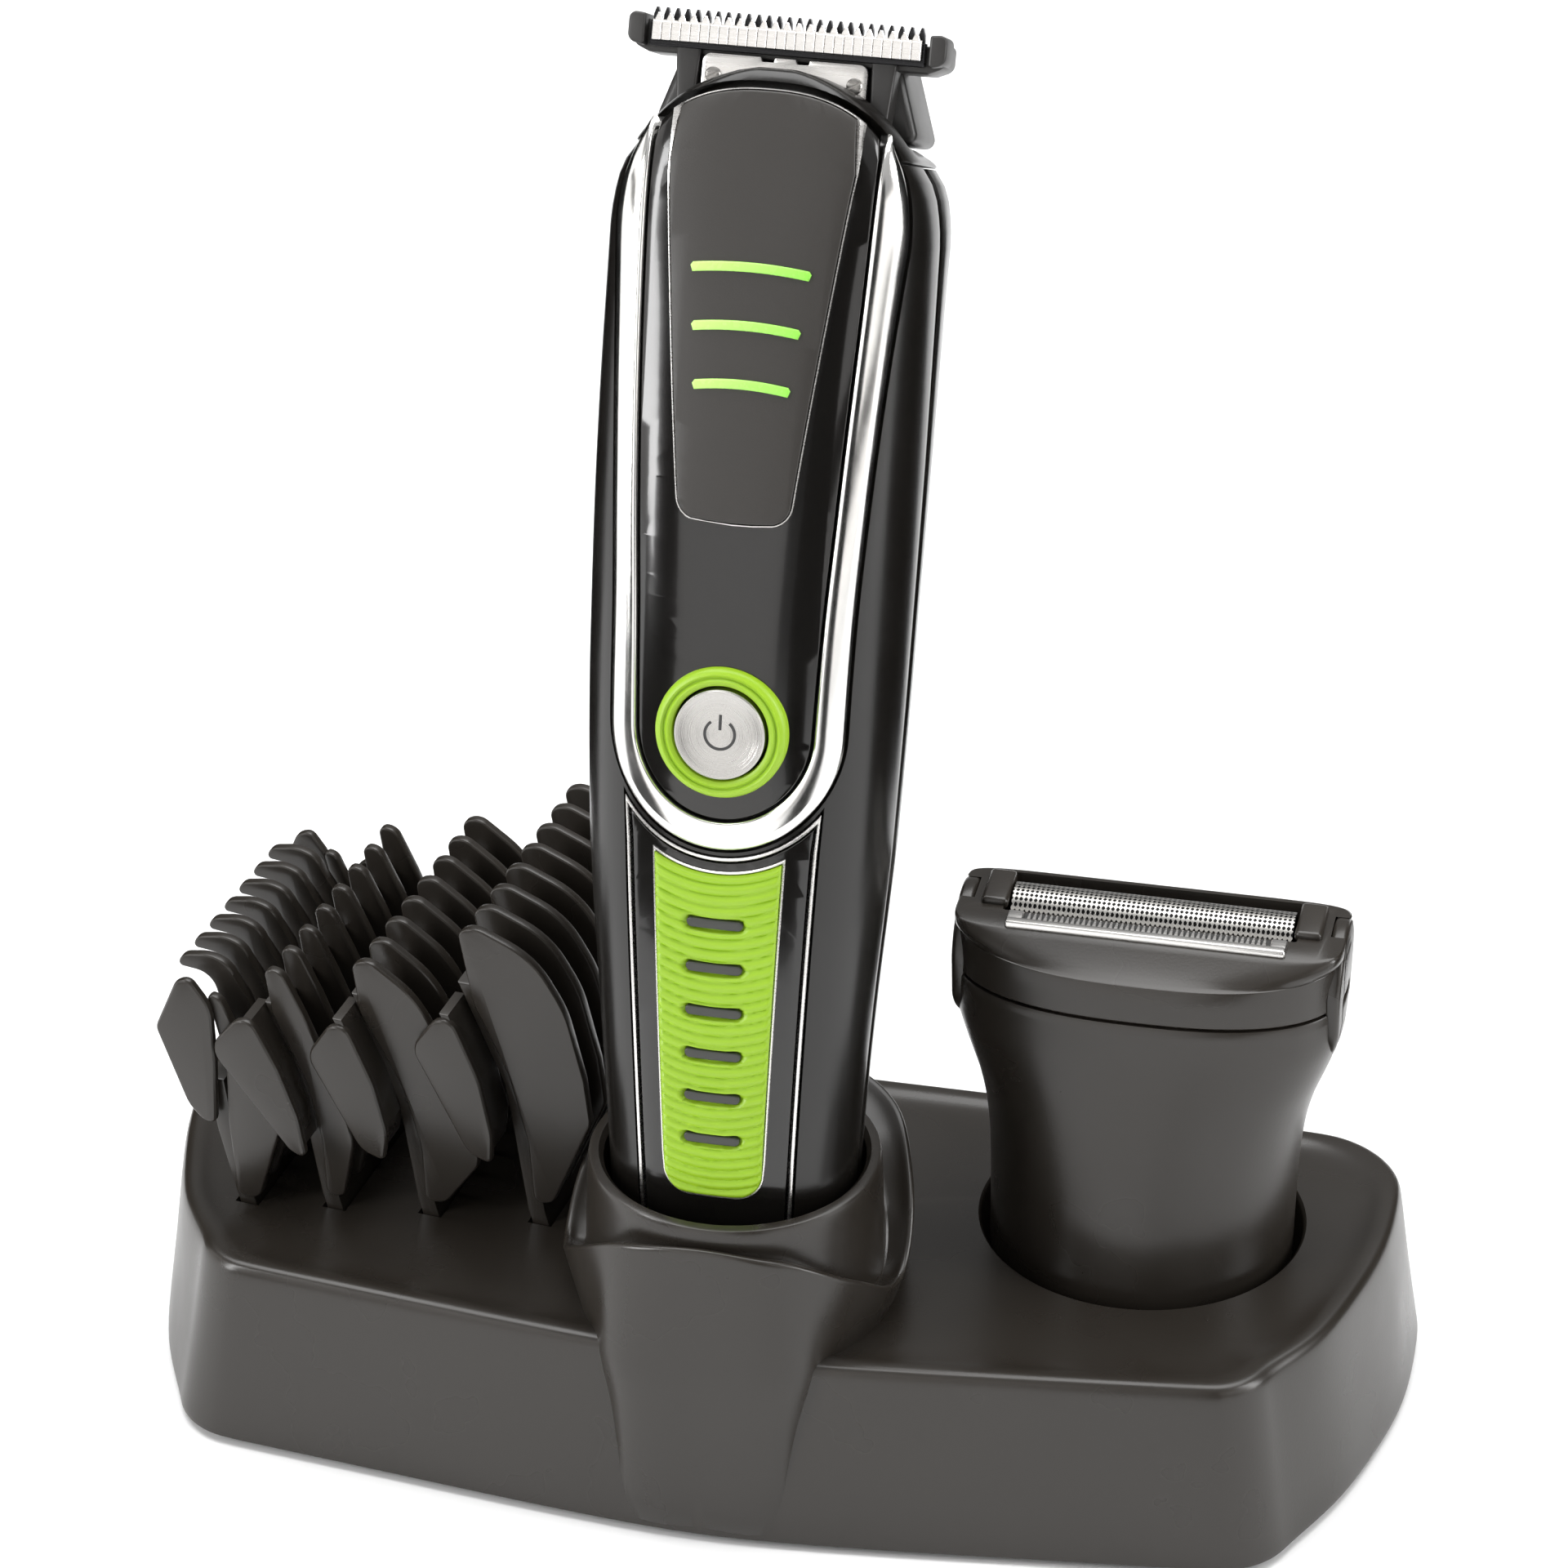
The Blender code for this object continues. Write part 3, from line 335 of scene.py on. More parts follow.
wire(tree, (place, "Object", cloud, "Vector"), (pigment_in, "Scale", cloud, "Scale"),
           (cloud, "Fac", blend, "Factor"), (pigment_in, "Colour", blend, "A"),
           (pigment_in, "Streak", blend, "B"), (shape, "Pointiness", edges, "Value"),
           (pigment_in, "EdgeHighlight", edges, "To Max"), (edges, "Result", patchy_highlight, 0), (cloud, "Fac", patchy_highlight, 1),
           (patchy_highlight, 0, edge_highlighted, "Factor"), (blend, "Result", edge_highlighted, "A"), (pigment_in, "Edge", edge_highlighted, "B"),
           (edge_highlighted, "Result", pigment_out, "Colour"))


def plastic(name, colour, smoothest, roughest, grain=3000.0, depth=0.1, edge_highlight=0.25, coat=0.0):
    """A moulded plastic: its colour with slow changes of tone and a painted highlight on its edges, mould
    grain for the sheen and the relief.
    """
    made, tree, shader = finish_named(name)
    # the Edge colour, far paler than the plastic, is the painted highlight laid along its rims
    paint = node(tree, "Group", {"Colour": (*colour, 1.0), "Streak": (*(c * 1.22 for c in colour), 1.0),
                                 "Edge": (*(min(c * 2.6 + 0.02, 1.0) for c in colour), 1.0), "EdgeHighlight": edge_highlight},
                                node_tree=pigment_and_edge_highlight)
    relief = node(tree, "Group", {"Grain": grain, "Depth": depth, "Smoothest": smoothest,
                                  "Roughest": roughest}, node_tree=moulded_grain)
    wire(tree, (paint, "Colour", shader, "Base Color"), (relief, "Roughness", shader, "Roughness"),
               (relief, "Normal", shader, "Normal"))
    shader.inputs["Coat Weight"].default_value = coat
    shader.inputs["Coat Roughness"].default_value = 0.05
    return made


satin_charcoal = plastic("satin_charcoal", (0.0185, 0.0155, 0.0125), 0.25, 0.33, depth=0.08)

RIM = 27.5
DECK = 26.7
FRONT, REAR = -39.0, 39.0
CUP_Y = -16.3
FOIL_X, FOIL_Y = 50.5, 10.5


def wing_outline(inset):
    """Two swept wings that meet in front, with flared ends and round corners."""
    half, front, rear = 88.0 - inset, FRONT + inset, REAR - inset
    corner = 11.0 - 0.5 * inset
    right = [(0.0, front), (14.0, front + 1.0), (30.0, front + 2.7), (46.0, front + 4.7)]
    right += arc((66.0 - 0.6 * inset, front + 7.0 + corner), corner, -83, -14, 6)
    right += [(half - 6.4, -14.0), (half - 3.8, -5.5), (half - 1.6, 3.0), (half - 0.4, 10.0), (half, 17.0)]
    right += arc((half - 13.0, rear - 13.0), 13.0, 10, 86, 6)
    right += [(58.0, rear), (38.0, rear), (18.0, rear), (0.0, rear)]
    return both_sides(right)


def wing_ring(inset, height):
    return [(x, y, height) for x, y in wing_outline(inset)]


wing_rows = ((0.35, 0.8), (0.0, 1.1), (0.1, 2.2), (1.9, 14.0), (3.3, 25.2), (3.6, 26.5), (4.1, 27.3),
             (5.0, RIM))
wing_rows += ((6.2, RIM - 0.05), (7.2, RIM - 0.4), (8.8, DECK + 0.1), (12.0, DECK))
housing = settle(sweep([wing_ring(inset, height) for inset, height in wing_rows]), "stand_moulding",
                 satin_charcoal)
rounded_out(housing, 2)

lip_reach = smooth_through((0, 0.7, 1.4, 2.0, 2.6, pi), (20.9, 22.4, 23.0, 24.2, 28.0, 29.3), True)
lip_height = smooth_through((0, 0.5, 1.0, 1.45, 1.9, 2.4, pi), (45.4, 43.8, 37.6, 31.8, 38.4, 44.2, 46.0),
                            True)
root_reach = smooth_through((0, 0.55, 0.8, 1.2, 1.6, 2.2, pi), (22.3, 24.2, 21.8, 20.8, 21.0, 24.8, 28.2),
                            True)
trough = smooth_through((0, 0.8, 1.45, 2.2, pi), (0.7, 0.7, 0.5, 2.6, 3.6), True)


def stem_reach(turn):
    """The stem in front: a box with round corners, seen from the cup's axis."""
    return ((abs(cos(turn)) / 22.7) ** 7 + (abs(sin(turn)) / 12.7) ** 7) ** (-1 / 7)


def tower_ring(row):
    """One ring of the tower: from the floor up the saddle, over the lip, and up the cup's wall."""
    ring = []
    for i in range(64):
        angle = 2 * pi * i / 64
        turn = abs(atan2(sin(angle), cos(angle)))
        lip, reach, root = lip_height(turn), lip_reach(turn), root_reach(turn)
        stem = min(stem_reach(turn), root - 0.1) if turn < 0.62 else root - 1.5
        kind, amount = row
        if kind == "stem":
            height, out = 0.8 + 25.0 * amount, stem + (root - stem) * amount**3
        elif kind == "saddle":
            height = 25.8 + (lip - 25.8) * amount
            out = root + (reach - root) * amount**0.8
        elif kind == "lip":
            height, out = lip + 0.35 * sin(pi * amount), reach - 1.1 * amount
        elif kind == "trough":
            wall = 20.3 - 0.045 * (lip - 24.0)
            height = lip - trough(turn) * amount**0.6
            out = reach - 1.1 + (wall - reach + 1.1) * amount
        else:
            height, out = amount
            height = max(height, lip - trough(turn) + 0.3)
        ring.append((out * sin(angle), CUP_Y - out * cos(angle), height))
    return ring


tower_rows = [("stem", a) for a in (0.0, 0.01, 0.3, 0.6, 0.85)]
tower_rows += [("saddle", a) for a in (0.0, 0.15, 0.35, 0.55, 0.75, 0.9, 0.97, 1.0)]
tower_rows += [("lip", 0.35), ("lip", 0.8)]
tower_rows += [("trough", a) for a in (0.15, 0.5, 0.85, 1.0)]
tower_rows += [("cup", (46.3, 19.5)), ("cup", (46.8, 19.4)), ("cup", (47.7, 19.3)), ("cup", (48.0, 19.1)),
               ("cup", (48.0, 17.8))]
tower = settle(sweep([tower_ring(row) for row in tower_rows]), "tower")
rounded_out(tower, 1)
carve(housing, tower, "UNION")

# the hollow under the deck, left solid round the cup, the foil head's well and the screw posts
hollow = settle(sweep([wing_ring(2.2, -1.0), wing_ring(3.9, 13.0), wing_ring(6.4, 23.2)]), "hollow")
carve(hollow, drum(16.4, 60.0, 18.7, centre=(0.0, CUP_Y)))
carve(hollow, drum(6.0, 60.0, 23.6, centre=(FOIL_X, FOIL_Y)))
foot_places = ((-60.0, -18.0), (60.0, -18.0), (-70.0, 26.0), (70.0, 26.0))
for foot in foot_places:
    carve(hollow, drum(3.6, 60.0, 4.0, centre=foot, sides=32))
carve(housing, hollow)
carve(housing, sweep([[(x, y, z) for x, y in arc((0, CUP_Y), r, 0, 356.25, 96)]
                      for z, r in ((18.6, 16.4), (40.0, 17.1), (47.3, 17.3), (48.6, 18.5))]))
carve(housing, sweep([[(x, y, z) for x, y in arc((FOIL_X, FOIL_Y), r, 0, 356.25, 96)]
                      for z, r in ((8.0, 21.6), (26.1, 21.8), (26.5, 22.0), (27.4, 23.0))]))
for x in (-5.0, 5.0):
    carve(housing, drum(10.0, 30.0, 1.4, centre=(x, CUP_Y), sides=24))
for foot in foot_places:
    carve(housing, drum(2.0, 12.0, 1.3, centre=foot, sides=24))


def slab(low, high, edge=0.0, segments=3):
    """A box between two corners, with its edges rounded."""
    bm = bmesh.new()
    bmesh.ops.create_cube(bm, size=1.0)
    bmesh.ops.scale(bm, vec=[b - a for a, b in zip(low, high)], verts=bm.verts)
    bmesh.ops.translate(bm, vec=[(a + b) / 2 for a, b in zip(low, high)], verts=bm.verts)
    if edge:
        bmesh.ops.bevel(bm, geom=bm.edges[:], offset=edge, segments=segments, profile=0.5, affect="EDGES",
                        material=-1)
    return bm


carve(housing, slab((-5.2, REAR - 12.0, 6.5), (5.2, REAR + 5.0, 13.5), 0.6))

# four slanted slots for the combs' tongues, in the left wing
COMB_FEET = ((-71.6, 17.4), (-59.9, 20.0), (-47.0, 22.8), (-32.1, 25.6))
COMB_LENGTH = 41.0
SLANT = tan(radians(15.0))


def comb_place(front):
    """From a comb's own axes (across, up, into the stand) to the stand."""
    turn = Matrix.Rotation(radians(-6.6), 4, "Z")
    upright = Matrix(((1, 0, 0, 0), (0, 0, 1, 0), (0, 1, 0, 0), (0, 0, 0, 1)))
    return Matrix.Translation((0, FRONT, 0)) @ turn @ Matrix.Translation((0, front, 0)) @ upright


for foot, front in COMB_FEET:
    slot = slab((foot - 1.7, DECK - 9.0, 0.6), (foot + 1.7, DECK + 9.0, COMB_LENGTH - 0.6))
    lean = Matrix.Identity(4)
    lean[0][1] = -SLANT
    about = Matrix.Translation((0, DECK, 0)) @ lean @ Matrix.Translation((0, -DECK, 0))
    bmesh.ops.transform(slot, matrix=comb_place(front) @ about, verts=slot.verts)
    carve(housing, slot)
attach(housing, "stand")
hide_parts("stand_housing")

# ------------------------------------------------------------------ trimmer shells
# Two injection-moulded halves of satin black plastic that meet along the sides. The body rises straight
# out of the cup and then bends backwards in one long arc. Places on it are given across and along it.

BODY_Y, BODY_Z = -17.2, 20.0
SEATED = 33.0
LEAN = radians(3.8)
BEND = 347.0
BODY_TOP = 170.0
STATIONS = (0.0, 1.6, 28.0, 50.0, 75.0, 100.0, 125.0, 150.0, 155.0, 160.0, 164.0, 167.0, 169.2, BODY_TOP)
half_width = smooth_through(STATIONS,
                            (14.4, 15.6, 16.5, 17.9, 19.7, 20.5, 20.8, 20.6, 20.0, 17.9, 14.7, 10.9, 5.6,
                             2.2))
front_depth = smooth_through(STATIONS,
                             (11.6, 12.9, 14.3, 14.9, 15.9, 16.9, 17.2, 16.3, 15.9, 15.3, 14.7, 14.1, 13.4,
                              12.6))
rear_depth = smooth_through(STATIONS,
                            (11.2, 12.4, 13.4, 14.6, 16.4, 17.8, 18.4, 17.6, 16.9, 15.9, 14.8, 13.8, 12.8,
                             12.0))


def body_line(s):
    """Y, Z and lean of the body's middle line."""
    straight = min(s, SEATED)
    lean = LEAN + (s - straight) / BEND
    y = BODY_Y + straight * sin(LEAN) + BEND * (cos(LEAN) - cos(lean))
    z = BODY_Z + straight * cos(LEAN) + BEND * (sin(lean) - sin(LEAN))
    return y, z, lean


squareness = smooth_through((28, 100, 120, 140, 150, 160, 170), (2.4, 2.4, 2.55, 2.95, 3.4, 4.2, 5.4))


def in_body(x, s, depth):
    """A point at depth in front of the body's middle line."""
    y, z, lean = body_line(s)
    return Vector((x, y - depth * cos(lean), z + depth * sin(lean)))


def face_depth(x, s):
    power = squareness(s)
    across = min(abs(x) / half_width(s), 0.995)
    return front_depth(s) * (1 - across**power) ** (1 / power)


def on_face(x, s, height):
    """A point at height above the front face, square to it."""
    slope = (face_depth(x + 0.1, s) - face_depth(x - 0.1, s)) / 0.2
    length = sqrt(1 + slope * slope)
    return in_body(x - height * slope / length, s, face_depth(x, s) + height / length)


def body_skin(s, turn, inset=0.0):
    """A point on the outside of the body; turn runs from the right side over the front."""
    power = squareness(s)
    wide = max(half_width(s) - inset, 0.8)
    x = wide * abs(cos(turn)) ** (2 / power) * (1 if cos(turn) > 0 else -1)
    reach = (front_depth(s) if sin(turn) > 0 else rear_depth(s)) - inset
    return in_body(x, s, reach * abs(sin(turn)) ** (2 / power) * (1 if sin(turn) > 0 else -1))


def half_shell(rear):
    """A C-shaped wall swept along the body, with its parting edges eased."""
    turns = [0.012, 0.03, 0.055] + [0.09 + (pi - 0.18) * i / 60 for i in range(61)]
    turns += [pi - 0.055, pi - 0.03, pi - 0.012]
    ease = {0: 0.35, 1: 0.1, len(turns) - 1: 0.35, len(turns) - 2: 0.1}
    rings = []
    for i in range(82):
        s = 5.0 + (159.7 - 5.0) * i / 81
        end = 0.35 if i in (0, 81) else 0.0
        side = -1 if rear else 1
        outer = [body_skin(s, side * turn, ease.get(k, 0.0) + end) for k, turn in enumerate(turns)]
        inner = [body_skin(s, side * turn, 2.3) for turn in turns[::4]]
        rings.append(outer + inner[::-1])
    return sweep(rings)


def face_plate(outline, low, high, edge=0.0, fine=2.4):
    """A plate with rounded upper edges that follows the front face."""
    bm = bmesh.new()
    base = bm.faces.new([bm.verts.new((x, s, low)) for x, s in outline])
    grown = bmesh.ops.extrude_face_region(bm, geom=[base])["geom"]
    top = [part for part in grown if isinstance(part, bmesh.types.BMVert)]
    bmesh.ops.translate(bm, verts=top, vec=(0, 0, high - low))
    bmesh.ops.holes_fill(bm, edges=bm.edges[:])
    if edge:
        rim = [e for e in bm.edges if all(v.co.z > high - 1e-4 for v in e.verts)]
        bmesh.ops.bevel(bm, geom=rim, offset=edge, segments=3, profile=0.5, affect="EDGES", material=-1)
    caps = [face for face in bm.faces if len(face.verts) > 4]
    bmesh.ops.triangulate(bm, faces=caps)
    for axis, lowest, highest in ((1, 20.0, 172.0), (0, -20.0, 20.0)):
        normal = Vector((0, 1, 0)) if axis else Vector((1, 0, 0))
        for i in range(int((highest - lowest) / fine) + 1):
            place = lowest + 0.137 + i * fine
            if not min(p[axis] for p in outline) < place < max(p[axis] for p in outline):
                continue
            geometry = bm.verts[:] + bm.edges[:] + bm.faces[:]
            bmesh.ops.bisect_plane(bm, geom=geometry, plane_co=normal * place, plane_no=normal, dist=0.01)
    bmesh.ops.dissolve_limit(bm, angle_limit=0.001, verts=[], edges=[])
    for vertex in bm.verts:
        vertex.co = on_face(vertex.co.x, vertex.co.y, vertex.co.z)
    return bm


def body_block(low, high):
    """A block that follows the body's middle line, between (across, along, depth) corners."""
    bm = slab(low, high)
    for i in range(int((high[1] - low[1]) / 6.0)):
        geometry = bm.verts[:] + bm.edges[:] + bm.faces[:]
        cut_at = low[1] + 3.1 + 6.0 * i
        bmesh.ops.bisect_plane(bm, geom=geometry, plane_co=(0, cut_at, 0), plane_no=(0, 1, 0), dist=0.01)
    for vertex in bm.verts:
        vertex.co = in_body(*vertex.co)
    return bm


def face_frame(x, s, height=0.0):
    """Across, along and out of the face at one of its points."""
    turn = Matrix.Rotation(pi / 2 - body_line(s)[2], 4, "X")
    return Matrix.Translation(on_face(x, s, height)) @ turn


def placed(bm, matrix):
    bmesh.ops.transform(bm, matrix=matrix, verts=bm.verts)
    return bm


BUTTON_S = 91.0
DOME_X, DOME_S, DOME_POWER = 18.3, 150.0, 2.4
inner_edge = smooth_through((91, 104, 118, 150, 165), (11.1, 11.6, 12.4, 13.9, 14.2))
outer_edge = smooth_through((91, 104, 118, 135, 150), (15.0, 15.3, 16.0, 17.1, 18.3))


def dome_line(inset=0.0, limit=99.0, count=22):
    """Right half of the line under the dome's edge, from the side to the top middle."""
    turns = [pi / 2 * i / (count - 1) for i in range(count)]
    power = 2 / DOME_POWER
    line = [((DOME_X - inset) * cos(t) ** power, DOME_S + (17.8 - inset) * sin(t) ** power) for t in turns]
    return [(x, s) for x, s in line if x < limit]


def trim_outline(grow):
    right = arc((0, BUTTON_S), 15.0 + grow, -90, 0, 25)
    right += [(outer_edge(s) + grow, s) for s in np.linspace(94, 148, 16)] + dome_line(-grow)
    return both_sides(right)


def bib_outline(grow):
    radius = 16.0 - grow
    corner = acos((12.6 + grow) / radius)
    right = [(0, 22.0 - grow), (9.9 + grow, 22.0 - grow)]
    right += [(9.9 + grow + 2.5 * ((s - 22.0) / 57.0) ** 1.1, s) for s in np.linspace(28, 76, 9)]
    right += arc((0, BUTTON_S), radius, -degrees(corner), -90, 17)
    return both_sides(right)


satin_black = plastic("satin_black", (0.0055, 0.0048, 0.004), 0.2, 0.27, depth=0.05)
front = settle(half_shell(False), "front_moulding", satin_black)
carve(front, face_plate(trim_outline(0.3), -1.5, 4.0))
carve(front, face_plate(bib_outline(0.3), -1.5, 4.0))
carve(front, placed(drum(-8.0, 8.0, 6.2), face_frame(0, BUTTON_S)))
rear = settle(half_shell(True), "rear_moulding", satin_black)
for piece, cad_name in ((front, "front_shell"), (rear, "rear_shell")):
    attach(piece, "trimmer")
    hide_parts(cad_name)

# ------------------------------------------------------------------ body ends
# A snap-in cap with the charging contacts closes the bottom, and a separate collar forms the dome's
# edge in front of the cutting head.


def body_stub(places, shoulder=0.0):
    """A closed length of the body; a shoulder draws in its back near the top."""
    rings = []
    for s, inset in places:
        turns = [2 * pi * i / 96 for i in range(96)]
        drawn = shoulder * min(max((s - 159.9) / 1.9, 0.0), 1.0) ** 2.2
        behind = [min(max(0.15 - sin(turn), 0.0) / 0.3, 1.0) for turn in turns]
        rings.append([body_skin(s, turn, inset + drawn * share) for turn, share in zip(turns, behind)])
    return sweep(rings)


cap_rows = ((0.0, 0.5), (0.2, 0.15), (0.7, 0.0), (1.6, 0.0), (3.0, 0.0), (4.4, 0.0), (4.6, 0.3))
cap = settle(body_stub(cap_rows), "end_cap", satin_black)
carve(cap, body_block((-13.0, 2.4, -9.0), (13.0, 10.0, 9.0)))
for x in (-5.0, 5.0):
    contact_frame = Matrix.Translation(in_body(x, 0.0, 0.0)) @ Matrix.Rotation(-LEAN, 4, "X")
    carve(cap, placed(drum(-4.0, 8.0, 2.0, sides=32), contact_frame))
collar_rows = [(159.95, 0.3), (160.2, 0.0), (160.6, 0.0), (161.0, 0.0), (161.4, 0.0)]
collar_rows += [(161.75 + 0.68 * i, 0.0) for i in range(11)] + [(169.2, 0.1), (169.7, 0.5)]
collar = settle(body_stub(collar_rows, 1.7), "dome_collar", satin_black)
carve(collar, body_block((-40.0, 161.8, -40.0), (40.0, 190.0, 7.5)))
carve(collar, body_block((-9.4, 151.3, -8.4), (9.4, 181.0, 6.4)))
carve(collar, face_plate(trim_outline(0.3), -1.5, 4.0))
for piece, cad_name in ((cap, "bottom_cap"), (collar, "top_collar")):
    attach(piece, "trimmer")
    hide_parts(cad_name)

# ------------------------------------------------------------------ chrome trim
# One U-shaped band of chromed plastic, ridged along its length, clipped round the upper fascia. Its
# round end is concentric with the button and its two tips follow the dome's edge.


def face_band(pairs, profile, closed=False):
    """A band on the face between paired points of its two edges, with a profile across it."""
    rings = []
    for (x0, s0), (x1, s1) in pairs:
        rings.append([on_face(x0 + (x1 - x0) * t, s0 + (s1 - s0) * t, height) for t, height in profile])
    return sweep(rings, closed)


trim_pairs = list(zip(arc((0, BUTTON_S), 11.4, -90, 0, 25), arc((0, BUTTON_S), 15.0, -90, 0, 25)))
trim_pairs += [((inner_edge(s) + 0.3, s), (outer_edge(s), s)) for s in np.linspace(93, 149.5, 34)]
tips = [(x, s) for x, s in dome_line(0.0, 99.0, 60) if 14.7 < x < DOME_X - 0.02]
for i, (x, s) in enumerate(tips):
    level = DOME_S + (163.2 - DOME_S) * ((i + 1) / len(tips)) ** 0.85
    trim_pairs.append(((inner_edge(level) + 0.3, level), (x, s)))
mirror_pairs = [((-a[0], a[1]), (-b[0], b[1])) for a, b in reversed(trim_pairs[1:])]
trim_profile = ((0.0, -1.1), (0.0, 0.12), (0.03, 0.3), (0.1, 0.42), (0.35, 0.52), (0.6, 0.56), (0.68, 0.53),
                (0.85, 0.32), (0.95, 0.15), (1.0, -0.05), (1.0, -1.1))
chrome, tree, shader = finish_named("chrome_plate", {"Metallic": 1.0, "Base Color": (0.86, 0.85, 0.83, 1.0)})
place = node(tree, "TexCoord")
cloud = node(tree, "TexNoise", {"Scale": 300.0})
haze = node(tree, "MapRange", {"To Min": 0.12, "To Max": 0.2})
ripple = node(tree, "Bump", {"Strength": 0.03, "Distance": 0.0002})
wire(tree, (place, "Object", cloud, "Vector"), (cloud, "Fac", haze, "Value"),
           (haze, "Result", shader, "Roughness"), (cloud, "Fac", ripple, "Height"),
           (ripple, "Normal", shader, "Normal"))
trim = settle(face_band(mirror_pairs + trim_pairs, trim_profile), "chrome_band", chrome, 50.0)
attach(trim, "trimmer")
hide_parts("chrome_trim")

# ------------------------------------------------------------------ upper fascia
# High-gloss black acrylic fills the trim. A matte graphite shield with a fine bright edge lies on it,
# and three light bars of lime acrylic are let into the shield.

gloss_black = plastic("gloss_black", (0.006, 0.0055, 0.005), 0.12, 0.17, grain=120.0, depth=0.02, edge_highlight=0.05,
                      coat=0.25)
right = arc((0, BUTTON_S), 11.1, -90, 0, 25) + [(inner_edge(s), s) for s in np.linspace(93, 160, 30)]
fascia = settle(face_plate(both_sides(right + dome_line(0.5, 13.9)), -1.1, -0.2, 0.15), "gloss_fascia",
                gloss_black)
carve(fascia, placed(drum(-8.0, 8.0, 6.2), face_frame(0, BUTTON_S)))
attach(fascia, "trimmer")
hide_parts("upper_fascia")


def shield_outline(grow):
    right = [(0, 116.4 - grow), (2.4, 116.45 - grow)] + arc((4.5, 119.2), 2.6 + grow, -80, -6, 9)
    right += [(7.1 + grow + (s - 119.2) * 0.113, s) for s in np.linspace(122, 158, 16)]
    return both_sides(right + dome_line(0.9 - grow, 11.7 + grow))


matte_graphite = plastic("matte_graphite", (0.022, 0.0195, 0.017), 0.4, 0.48, grain=4500.0, depth=0.16,
                         edge_highlight=0.1)
shield = settle(face_plate(shield_outline(0.0), -0.1, 0.5, 0.2), "matte_shield", matte_graphite)
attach(shield, "trimmer")
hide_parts("upper_panel")


def line_profile(foot, edge, crown):
    """The section of a fine bright line let into the face: its foot, its edges and its crown."""
    return ((0.0, foot), (0.0, edge), (0.3, crown), (0.7, crown), (1.0, edge), (1.0, foot))


brushed, tree, shader = finish_named("bright_steel", {"Metallic": 1.0})
place = node(tree, "TexCoord")
stretch = node(tree, "Mapping", {"Scale": (60.0, 4000.0, 4000.0)})
strokes = node(tree, "TexNoise", {"Scale": 1.0, "Detail": 3.0})
sheen = node(tree, "MapRange", {"To Min": 0.2, "To Max": 0.36})
tone = node(tree, "Mix", {"A": (0.62, 0.6, 0.58, 1.0), "B": (0.86, 0.85, 0.83, 1.0)}, data_type="RGBA")
score = node(tree, "Bump", {"Strength": 0.15, "Distance": 0.00005})
wire(tree, (place, "Object", stretch, "Vector"), (stretch, "Vector", strokes, "Vector"),
           (strokes, "Fac", sheen, "Value"), (sheen, "Result", shader, "Roughness"),
           (strokes, "Fac", tone, "Factor"), (tone, "Result", shader, "Base Color"),
           (strokes, "Fac", score, "Height"), (score, "Normal", shader, "Normal"))
edge_pairs = list(zip(shield_outline(0.08), shield_outline(0.36)))
edge_line = settle(face_band(edge_pairs, line_profile(-0.4, 0.1, 0.25), True), "shield_line", brushed)
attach(edge_line, "trimmer")

# the lime is painted paler towards the left, a painted highlight across all three bars, and they glow faintly
# in that same painted colour
lime_lens, tree, shader = finish_named("lime_lens", {"Emission Strength": 0.18})
place = node(tree, "TexCoord")
split = node(tree, "SeparateXYZ")
painted_highlight_fade = node(tree, "MapRange", {"From Min": -0.008, "From Max": 0.008})
painted_highlight_hue = node(tree, "Mix", {"A": (0.5, 0.85, 0.2, 1.0), "B": (0.22, 0.62, 0.06, 1.0)}, data_type="RGBA")
frost = node(tree, "TexNoise", {"Scale": 900.0})
frosted = node(tree, "MapRange", {"To Min": 0.2, "To Max": 0.34})
wire(tree, (place, "Object", split, 0), (split, "X", painted_highlight_fade, "Value"), (painted_highlight_fade, "Result", painted_highlight_hue, "Factor"),
           (painted_highlight_hue, "Result", shader, "Base Color"), (painted_highlight_hue, "Result", shader, "Emission Color"))
wire(tree, (place, "Object", frost, "Vector"), (frost, "Fac", frosted, "Value"),
           (frosted, "Result", shader, "Roughness"))
for number, (s, length) in enumerate(((146.2, 15.0), (139.4, 13.6), (132.6, 12.2)), 1):
    half = length / 2
    upper = [(x, s + 0.72 - 0.5 * (x / half) ** 2) for x in np.linspace(half - 0.3, -half + 0.3, 13)]
    lower = [(x, s - 0.42 - 0.5 * (x / half) ** 2) for x in np.linspace(-half + 0.3, half - 0.3, 13)]
    outline = upper + [(-half, s - 0.15)] + lower + [(half, s - 0.15)]
    bar = settle(face_plate(outline, 0.3, 0.85, 0.22), f"light_bar_{number}", lime_lens)
    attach(bar, "trimmer")
    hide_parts(f"accent_bar_{number}")

# ------------------------------------------------------------------ power button
# A turned steel cap with a dished face and the usual power symbol, in a soft lime ring with two ribs.


def turned(profile, steps=96):
    """A profile of radius and height, spun about the upright axis."""
    bm = bmesh.new()
    line = [bm.verts.new((radius, 0.0, height)) for radius, height in profile]
    edges = [bm.edges.new(pair) for pair in zip(line, line[1:])]
    if profile[0] != profile[-1] and profile[0][0] > 0:
        edges.append(bm.edges.new((line[-1], line[0])))
    bmesh.ops.spin(bm, geom=line + edges, cent=(0, 0, 0), axis=(0, 0, 1), angle=2 * pi, steps=steps,
                   use_merge=True)
    bmesh.ops.remove_doubles(bm, verts=bm.verts, dist=1e-4)
    bmesh.ops.recalc_face_normals(bm, faces=bm.faces)
    return bm


